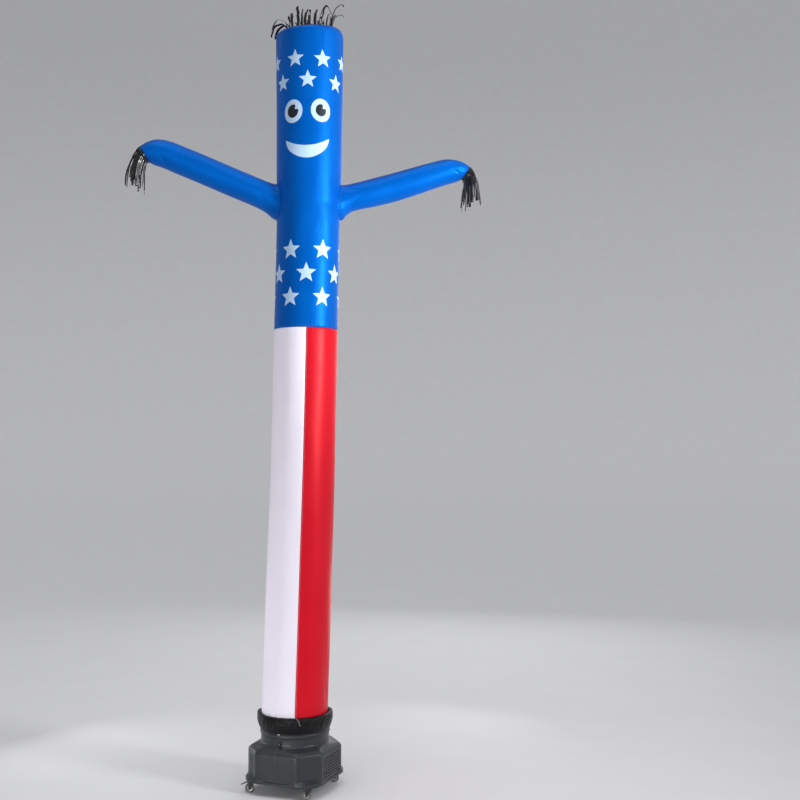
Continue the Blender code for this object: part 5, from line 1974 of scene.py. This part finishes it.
@dataclass(frozen=True)
class Caster:
    """A twin-leg swivel caster, trailing towards -X."""

    corner: Corner
    circle: float = 0.195
    trail: float = 0.010
    axle_height: float = 0.020248
    wheel_width: float = 0.0160
    hub_radius: float = 0.0115
    crown_top: float = 0.0494
    sides: int = 56

    @property
    def place(self) -> Vector:
        """The swivel's axis at floor level."""
        turn = BLOWER_YAW + math.radians(45.0 + 90.0 * self.corner.value)
        return Vector((BLOWER_X + self.circle * math.sin(turn), -self.circle * math.cos(turn), 0.0))

    @property
    def axle(self) -> Matrix:
        """Lays a turned part along the axle."""
        middle = self.place + Vector((-self.trail, 0.0, self.axle_height))
        return Matrix.Translation(middle) @ Matrix.Rotation(math.radians(90.0), 4, "X")

    def piece(self, kind: str, parts: list[Part], finish: Finish, body: str) -> Piece:
        """A piece of the caster on its own body."""
        label = self.corner.label
        made = facing_out(joined(f"{kind}_{label}", parts, finish))
        made.data.set_sharp_from_angle(angle=math.radians(38.0))
        finished(made, finish, f"caster_{kind}_{label}")
        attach(made, f"{body}_{label}")
        return made

    def rolled(self, kind: str, side: list[tuple[float, float]], finish: Finish) -> Piece:
        """A ring on the axle, from the profile of one of its two like sides."""
        profile = [(r, -z) for r, z in side] + [(r, z) for r, z in reversed(side)]
        part = moved(lathe(profile, self.sides, ring=True), self.axle)
        return self.piece(kind, [part], finish, "wheel")

    def tyre(self) -> Piece:
        """The soft tyre, with a flat tread and round shoulders."""
        outer, half, bore = self.axle_height - 0.00002, self.wheel_width / 2, self.hub_radius + 0.0003
        side = [
            (bore, half - 0.0004), (0.0138, half), (0.0163, half - 0.0001), (0.0181, half - 0.0007),
            (0.0194, half - 0.0020), (outer - 0.0001, half - 0.0036), (outer, half - 0.0052),
        ]
        return self.rolled("tyre", side, TYRE)

    def hub(self) -> Piece:
        """The dished bright hub with a raised boss."""
        side = [
            (0.0033, 0.0076), (0.0046, 0.0077), (0.0053, 0.0073), (0.0060, 0.0060),
            (0.0072, 0.0053), (0.0088, 0.0054), (0.0098, 0.0064), (0.0104, 0.0072),
            (0.0112, 0.0074), (0.0115, 0.0070),
        ]
        return self.rolled("hub", side, PLATED)

    def fork(self) -> Piece:
        """Swivel crown with its bearing cap, two pressed legs, axle and nuts."""
        top, low, axle = self.crown_top, self.axle_height - 0.0055, self.axle_height
        crown = [
            (0.0010, top - 0.0036), (0.0120, top - 0.0036), (0.0129, top - 0.0029),
            (0.0131, top - 0.0020), (0.0129, top - 0.0011), (0.0112, top - 0.0004), (0.0098, top),
            (0.0010, top),
        ]
        parts = [moved(lathe(crown, self.sides), Matrix.Translation(self.place))]
        high = top - 0.0014
        back = -self.trail
        outline = [(0.0106, high), (-0.0118, high), (-0.0125, high - 0.0012), (back - 0.0064, axle + 0.0010)]
        outline += [(back - 0.0060, axle - 0.0022), (back - 0.0040, low + 0.0006), (back - 0.0010, low)]
        outline += [(back + 0.0022, low), (back + 0.0048, low + 0.0012), (back + 0.0070, axle - 0.0010)]
        outline += [(back + 0.0088, axle + 0.0050), (0.0112, high - 0.0016)]
        leg = slab(list(reversed(outline)), 0.0020, 0.0005)
        middle = self.wheel_width / 2 + 0.0020
        for side in (-1.0, 1.0):
            parts.append(moved(leg, Matrix.Translation(self.place + Vector((0.0, side * middle, 0.0)))))
            nut = lathe(
                [(0.0010, 0.0), (0.0037, 0.0), (0.0037, 0.0012), (0.0031, 0.0018), (0.0010, 0.0019)], 6
            )
            flip = Matrix.Rotation(math.radians(90.0 if side < 0 else -90.0), 4, "X")
            at = self.place + Vector((-self.trail, side * (middle + 0.0010), axle))
            parts.append(moved(nut, Matrix.Translation(at) @ flip))
        pin = lathe([(0.0030, -middle), (0.0030, middle)], 24)
        parts.append(moved(pin, self.axle))
        return self.piece("fork", parts, DARK_STEEL, "swivel")

    def build(self) -> None:
        """Builds the caster's moving pieces."""
        for piece in (self.tyre(), self.hub(), self.fork()):
            log.info("caster %s: %s", self.corner.label, piece.name)


@dataclass(frozen=True)
class BrakePedal:
    """The left caster's brake lever, with a ribbed tread."""

    level: float = 0.0445
    wide: float = 0.0150
    thick: float = 0.0018

    def build(self, place: Vector) -> Piece:
        """Builds the pedal at its caster."""
        half, level = self.thick / 2, self.level
        outline = [
            (0.0, level - half), (0.0, level + half), (-0.0262, level + half),
            (-0.0285, level + half - 0.0006),
        ]
        outline += [
            (-0.0468, level - 0.0088 + half),
            (-0.0475, level - 0.0094 + half),
            (-0.0475, level - 0.0095 - half),
        ]
        outline += [
            (-0.0466, level - 0.0092 - half), (-0.0286, level - 0.0008 - half), (-0.0264, level - half)
        ]
        parts = [moved(slab(list(reversed(outline)), self.wide, 0.0004), Matrix.Translation(place))]
        for k in range(4):
            x = -0.0335 - 0.0036 * k
            top = level + half - 0.0006 - (-0.0285 - x) * 0.455
            rib = slab(
                [
                    (x - 0.0006, top - 0.0006), (x + 0.0006, top - 0.0002),
                    (x + 0.0004, top + 0.0007), (x - 0.0004, top + 0.0004),
                ],
                self.wide * 0.76,
                0.0002,
            )
            parts.append(moved(rib, Matrix.Translation(place)))
        made = facing_out(joined("brake_lever", parts, DARK_STEEL))
        finished(made, DARK_STEEL, "brake_pedal")
        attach(made, "brake_pedal")
        return made


@dataclass(frozen=True)
class Outlet:
    """What shows round the neck: the smooth band and the knob."""

    band_inside: float = 0.1495
    band_outside: float = 0.1512
    band_low: float = 0.2613
    band_high: float = 0.3047
    knob_deg: float = -25.0
    knob_height: float = 0.2225
    knob_root: float = 0.1500

    def band(self) -> Piece:
        """The black band, a rolled strip with softened edges."""
        near, far, low, high = self.band_inside, self.band_outside, self.band_low, self.band_high
        profile = [
            (near, low), (far - 0.0006, low), (far - 0.0001, low + 0.0003), (far, low + 0.0008),
            (far, high - 0.0008), (far - 0.0001, high - 0.0003), (far - 0.0006, high), (near, high),
        ]
        made = facing_out(
            joined(
                "outlet_band_strip",
                [moved(lathe(profile, 160, ring=True), Matrix.Translation((BLOWER_X, 0.0, 0.0)))],
                GLOSS_PLASTIC,
            )
        )
        return finished(made, GLOSS_PLASTIC, "outlet_band")

    def knob(self) -> Piece:
        """The fluted turn knob on its round flange."""
        angle = math.radians(self.knob_deg)
        out = Vector((math.sin(angle), -math.cos(angle), 0.0))
        root = Vector((BLOWER_X, 0.0, self.knob_height)) + out * self.knob_root
        place = Matrix.Translation(root) @ out.to_track_quat("Z", "Y").to_matrix().to_4x4()
        flange = lathe(
            [(0.0010, 0.0002), (0.0092, 0.0002), (0.0096, 0.0010), (0.0090, 0.0019), (0.0010, 0.0020)], 48
        )
        grip_rows = (
            (0.0074, 0.0016), (0.0084, 0.0026), (0.0091, 0.0050), (0.0090, 0.0102),
            (0.0081, 0.0127), (0.0064, 0.0140), (0.0034, 0.0146), (0.0010, 0.0147),
        )
        grip = lathe(grip_rows, 96, flutes=0.055)
        made = facing_out(joined("turn_knob", [moved(flange, place), moved(grip, place)], GLOSS_PLASTIC))
        return finished(made, GLOSS_PLASTIC, "neck_knob")


@dataclass
class Blower:
    """The floor blower."""

    halves: tuple[HousingHalf, ...] = (
        HousingHalf("right", 0.0, (SlotBlock(90.0, 8, 0.180),)),
        HousingHalf("left", -180.0, (SlotBlock(-90.0, 8, 0.180), SlotBlock(-45.0, 3, 0.19799))),
    )
    plain: tuple[tuple[str, Finish, float], ...] = (
        ("band_clip_lower", CLIP, 0.0004),
        ("outlet_guard", DARK_STEEL, 0.0),
        ("caster_plate_front", DARK_STEEL, 0.0007),
        ("caster_plate_right", DARK_STEEL, 0.0007),
        ("caster_plate_back", DARK_STEEL, 0.0007),
        ("caster_plate_left", DARK_STEEL, 0.0007),
    )

    def dress(self, node: str, finish: Finish, bevel: float) -> None:
        """Gives a small CAD node its finish and soft edges."""
        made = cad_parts[node]
        made.data.materials.clear()
        made.data.materials.append(finish.material())
        if bevel:
            step = made.modifiers.new("Soft edges", "BEVEL")
            step.width, step.segments, step.limit_method = bevel, 2, "ANGLE"
        log.info("%s wears %s", node, finish.name)

    def build(self) -> None:
        """Builds and dresses every hard piece."""
        for half in self.halves:
            half.build()
        BaseTray().build()
        outlet = Outlet()
        outlet.band()
        outlet.knob()
        for corner in Corner:
            Caster(corner).build()
        BrakePedal().build(Caster(Corner.LEFT).place)
        for node, finish, bevel in self.plain:
            self.dress(node, finish, bevel)


# --- the studio --------------------------------------------------------------------------------


@dataclass(frozen=True)
class SoftLight:
    """A rectangular studio light."""

    name: str
    place: tuple[float, float, float]
    aim: tuple[float, float, float]
    wide: float
    high: float
    power: float
    spread_deg: float = 180.0

    def build(self) -> None:
        """Hangs the light."""
        lamp = bpy.data.lights.new(self.name, "AREA")
        lamp.shape = "RECTANGLE"
        lamp.size, lamp.size_y = self.wide, self.high
        lamp.energy, lamp.spread = self.power, math.radians(self.spread_deg)
        made = placed(self.name, lamp)
        made.location = self.place
        way = Vector(self.aim) - Vector(self.place)
        made.rotation_mode = "QUATERNION"
        made.rotation_quaternion = way.to_track_quat("-Z", "Y")


@dataclass
class Studio:
    """Floor, air, lights and camera."""

    eye: tuple[float, float, float] = (-0.007, -4.945, 1.488)
    yaw: float = math.radians(4.97)
    pitch: float = math.radians(2.6)
    focal: float = 1097.8
    picture: float = 800.0
    lights: tuple[SoftLight, ...] = (
        SoftLight("key", (3.48, -2.29, 2.95), (0.0, 0.0, 2.75), 0.7, 2.4, 52.0, spread_deg=120.0),
        SoftLight("arm_key", (3.0, -2.6, 1.9), (0.40, 0.0, 2.66), 0.5, 0.4, 8.0, spread_deg=44.0),
        SoftLight("front_fill", (-1.3, -5.0, 1.6), (0.0, 0.0, 1.4), 1.8, 1.8, 26.0),
        SoftLight("low_left", (-1.45, -2.1, 0.25), (0.0, 0.0, 0.15), 1.0, 0.3, 2.6, spread_deg=80.0),
        SoftLight("left_edge", (-1.5, 1.0, 0.55), (0.0, 0.0, 0.20), 0.7, 0.5, 1.5, spread_deg=130.0),
        SoftLight("right_edge", (1.05, 1.5, 0.55), (0.0, 0.0, 0.20), 0.7, 0.5, 1.0, spread_deg=130.0),
        SoftLight("back_fill", (1.5, 4.5, 3.0), (0.0, 0.0, 1.8), 3.0, 3.0, 36.0),
    )
    floor_flat: float = 30.0
    floor_curve: float = 22.0
    wall_top: float = 42.0
    sun_power: float = 0.6
    sun_tilt: tuple[float, float] = (math.radians(16.0), math.radians(-8.0))

    def floor(self) -> None:
        """A wide pale floor that turns up into a wall far off."""
        flat, curve, count = self.floor_flat, self.floor_curve, 96
        rows = [(0.05, 0.0), (8.0, 0.0), (20.0, 0.0), (flat, 0.0)]
        for turn in (k * TURN / 48 for k in range(1, 13)):
            rows.append((flat + curve * math.sin(turn), curve - curve * math.cos(turn)))
        rows.append((flat + curve, self.wall_top))
        around = [TURN * k / count for k in range(count)]
        points = np.array([(r * math.cos(turn), r * math.sin(turn), z) for r, z in rows for turn in around])
        made = mesh_object("floor", points, [tuple(range(count))] + quads(len(rows), count, flip=True), FLOOR)

    def air(self) -> None:
        """Even pale light from all round."""
        world = bpy.data.worlds.new("studio_air")
        world.use_nodes = True
        back = world.node_tree.nodes["Background"]
        back.inputs["Color"].default_value = (0.86, 0.87, 0.90, 1.0)
        back.inputs["Strength"].default_value = 0.48
        bpy.context.scene.world = world

    def sun(self) -> None:
        """A broad, weak light from above that evens the floor."""
        lamp = bpy.data.lights.new("overhead", "SUN")
        lamp.energy, lamp.angle = self.sun_power, math.radians(40.0)
        placed("overhead", lamp).rotation_euler = (*self.sun_tilt, 0.0)

    def camera(self) -> None:
        """The camera, looking a little to the right and slightly up."""
        lens = bpy.data.cameras.new("camera")
        lens.sensor_width = 36.0
        lens.lens = self.focal / self.picture * lens.sensor_width
        lens.clip_end = 200.0
        level = math.cos(self.pitch)
        ahead = Vector((math.sin(self.yaw) * level, math.cos(self.yaw) * level, math.sin(self.pitch)))
        right = Vector((math.cos(self.yaw), -math.sin(self.yaw), 0.0))
        above = right.cross(ahead)
        made = placed("camera", lens)
        turned = Matrix((right, above, -ahead)).transposed().to_4x4()
        made.matrix_world = Matrix.Translation(self.eye) @ turned
        bpy.context.scene.camera = made

    def build(self) -> None:
        """Sets up the studio."""
        self.floor()
        self.air()
        self.sun()
        for light in self.lights:
            light.build()
        self.camera()
        bpy.context.scene.view_settings.view_transform = "Standard"


# --- the whole ---------------------------------------------------------------------------------


def seam_stitches(tube: InflatedTube, arms: Sequence[Arm]) -> dict[str, Piece]:
    """Every row of stitches, one piece for each seam.

    Args:
        tube: The tube's surface.
        arms: The two arms.

    Returns:
        The pieces by name.
    """

    def level(height: float) -> Line:
        """A line round the tube."""
        return lambda share, lift: tube.point(share * TURN, np.full_like(share, height), lift)

    def upright(angle_deg: float, shift: float, low: float, high: float) -> Line:
        """A line up the tube, shifted round it by a length."""
        angle = math.radians(angle_deg) + shift / 0.144
        return lambda share, lift: tube.point(np.full_like(share, angle), low + (high - low) * share, lift)

    clear, needles = 0.004, (-0.0045, 0.0045)
    legs = [upright(a, s, TUBE_BOTTOM + clear, BORDER - clear) for a in (0.0, 180.0) for s in needles]
    back = [upright(180.0, s, BORDER + clear, SHOULDER) for s in needles]
    seams = {
        "border_stitches": (BLUE_THREAD, [StitchRow(level(BORDER + up), 0.89) for up in (0.0045, 0.0095)]),
        "leg_stitches": (WHITE_THREAD, [StitchRow(line, BORDER - TUBE_BOTTOM) for line in legs]),
        "back_stitches": (BLUE_THREAD, [StitchRow(line, SHOULDER - BORDER) for line in back]),
    }
    for arm in arms:
        seams[arm.name.replace("sleeve", "stitches")] = (BLUE_THREAD, arm.stitches())
    return {name: stitch_piece(name, rows, thread) for name, (thread, rows) in seams.items()}


def main() -> None:
    logging.basicConfig(level=logging.INFO, format="%(name)s: %(message)s")
    tube = InflatedTube(TUBE_CREASES)
    surfaces = (
        ArmSurface(-1.0, ARM_RINGS_LEFT, ARM_CREASES_LEFT, tube),
        ArmSurface(1.0, ARM_RINGS_RIGHT, ARM_CREASES_RIGHT, tube),
    )
    sleeve = UpperSleeve(tube, surfaces)
    sleeve_piece = sleeve.build()
    arms = (Arm("arm_sleeve_left", surfaces[0]), Arm("arm_sleeve_right", surfaces[1]))
    arm_pieces = [arm.build() for arm in arms]
    white = LegPanel("leg_panel_white", WHITE, -math.pi, 0.0, tube).build()
    red = LegPanel("leg_panel_red", RED, 0.0, math.pi, tube).build()
    skirt = Collar()
    collar, tie = skirt.build(), skirt.tie()
    stitches = seam_stitches(tube, arms)
    printed = Print(tube)
    prints = printed.stars() + printed.face()
    hair = HairFringe(sleeve).build()
    left, right = Tassel("tassel_left", surfaces[0]), Tassel("tassel_right", surfaces[1], aside=-0.018)
    tassels = [left.build(), right.build()]
    Blower().build()

    Studio().build()


if __name__ == "__main__":
    main()
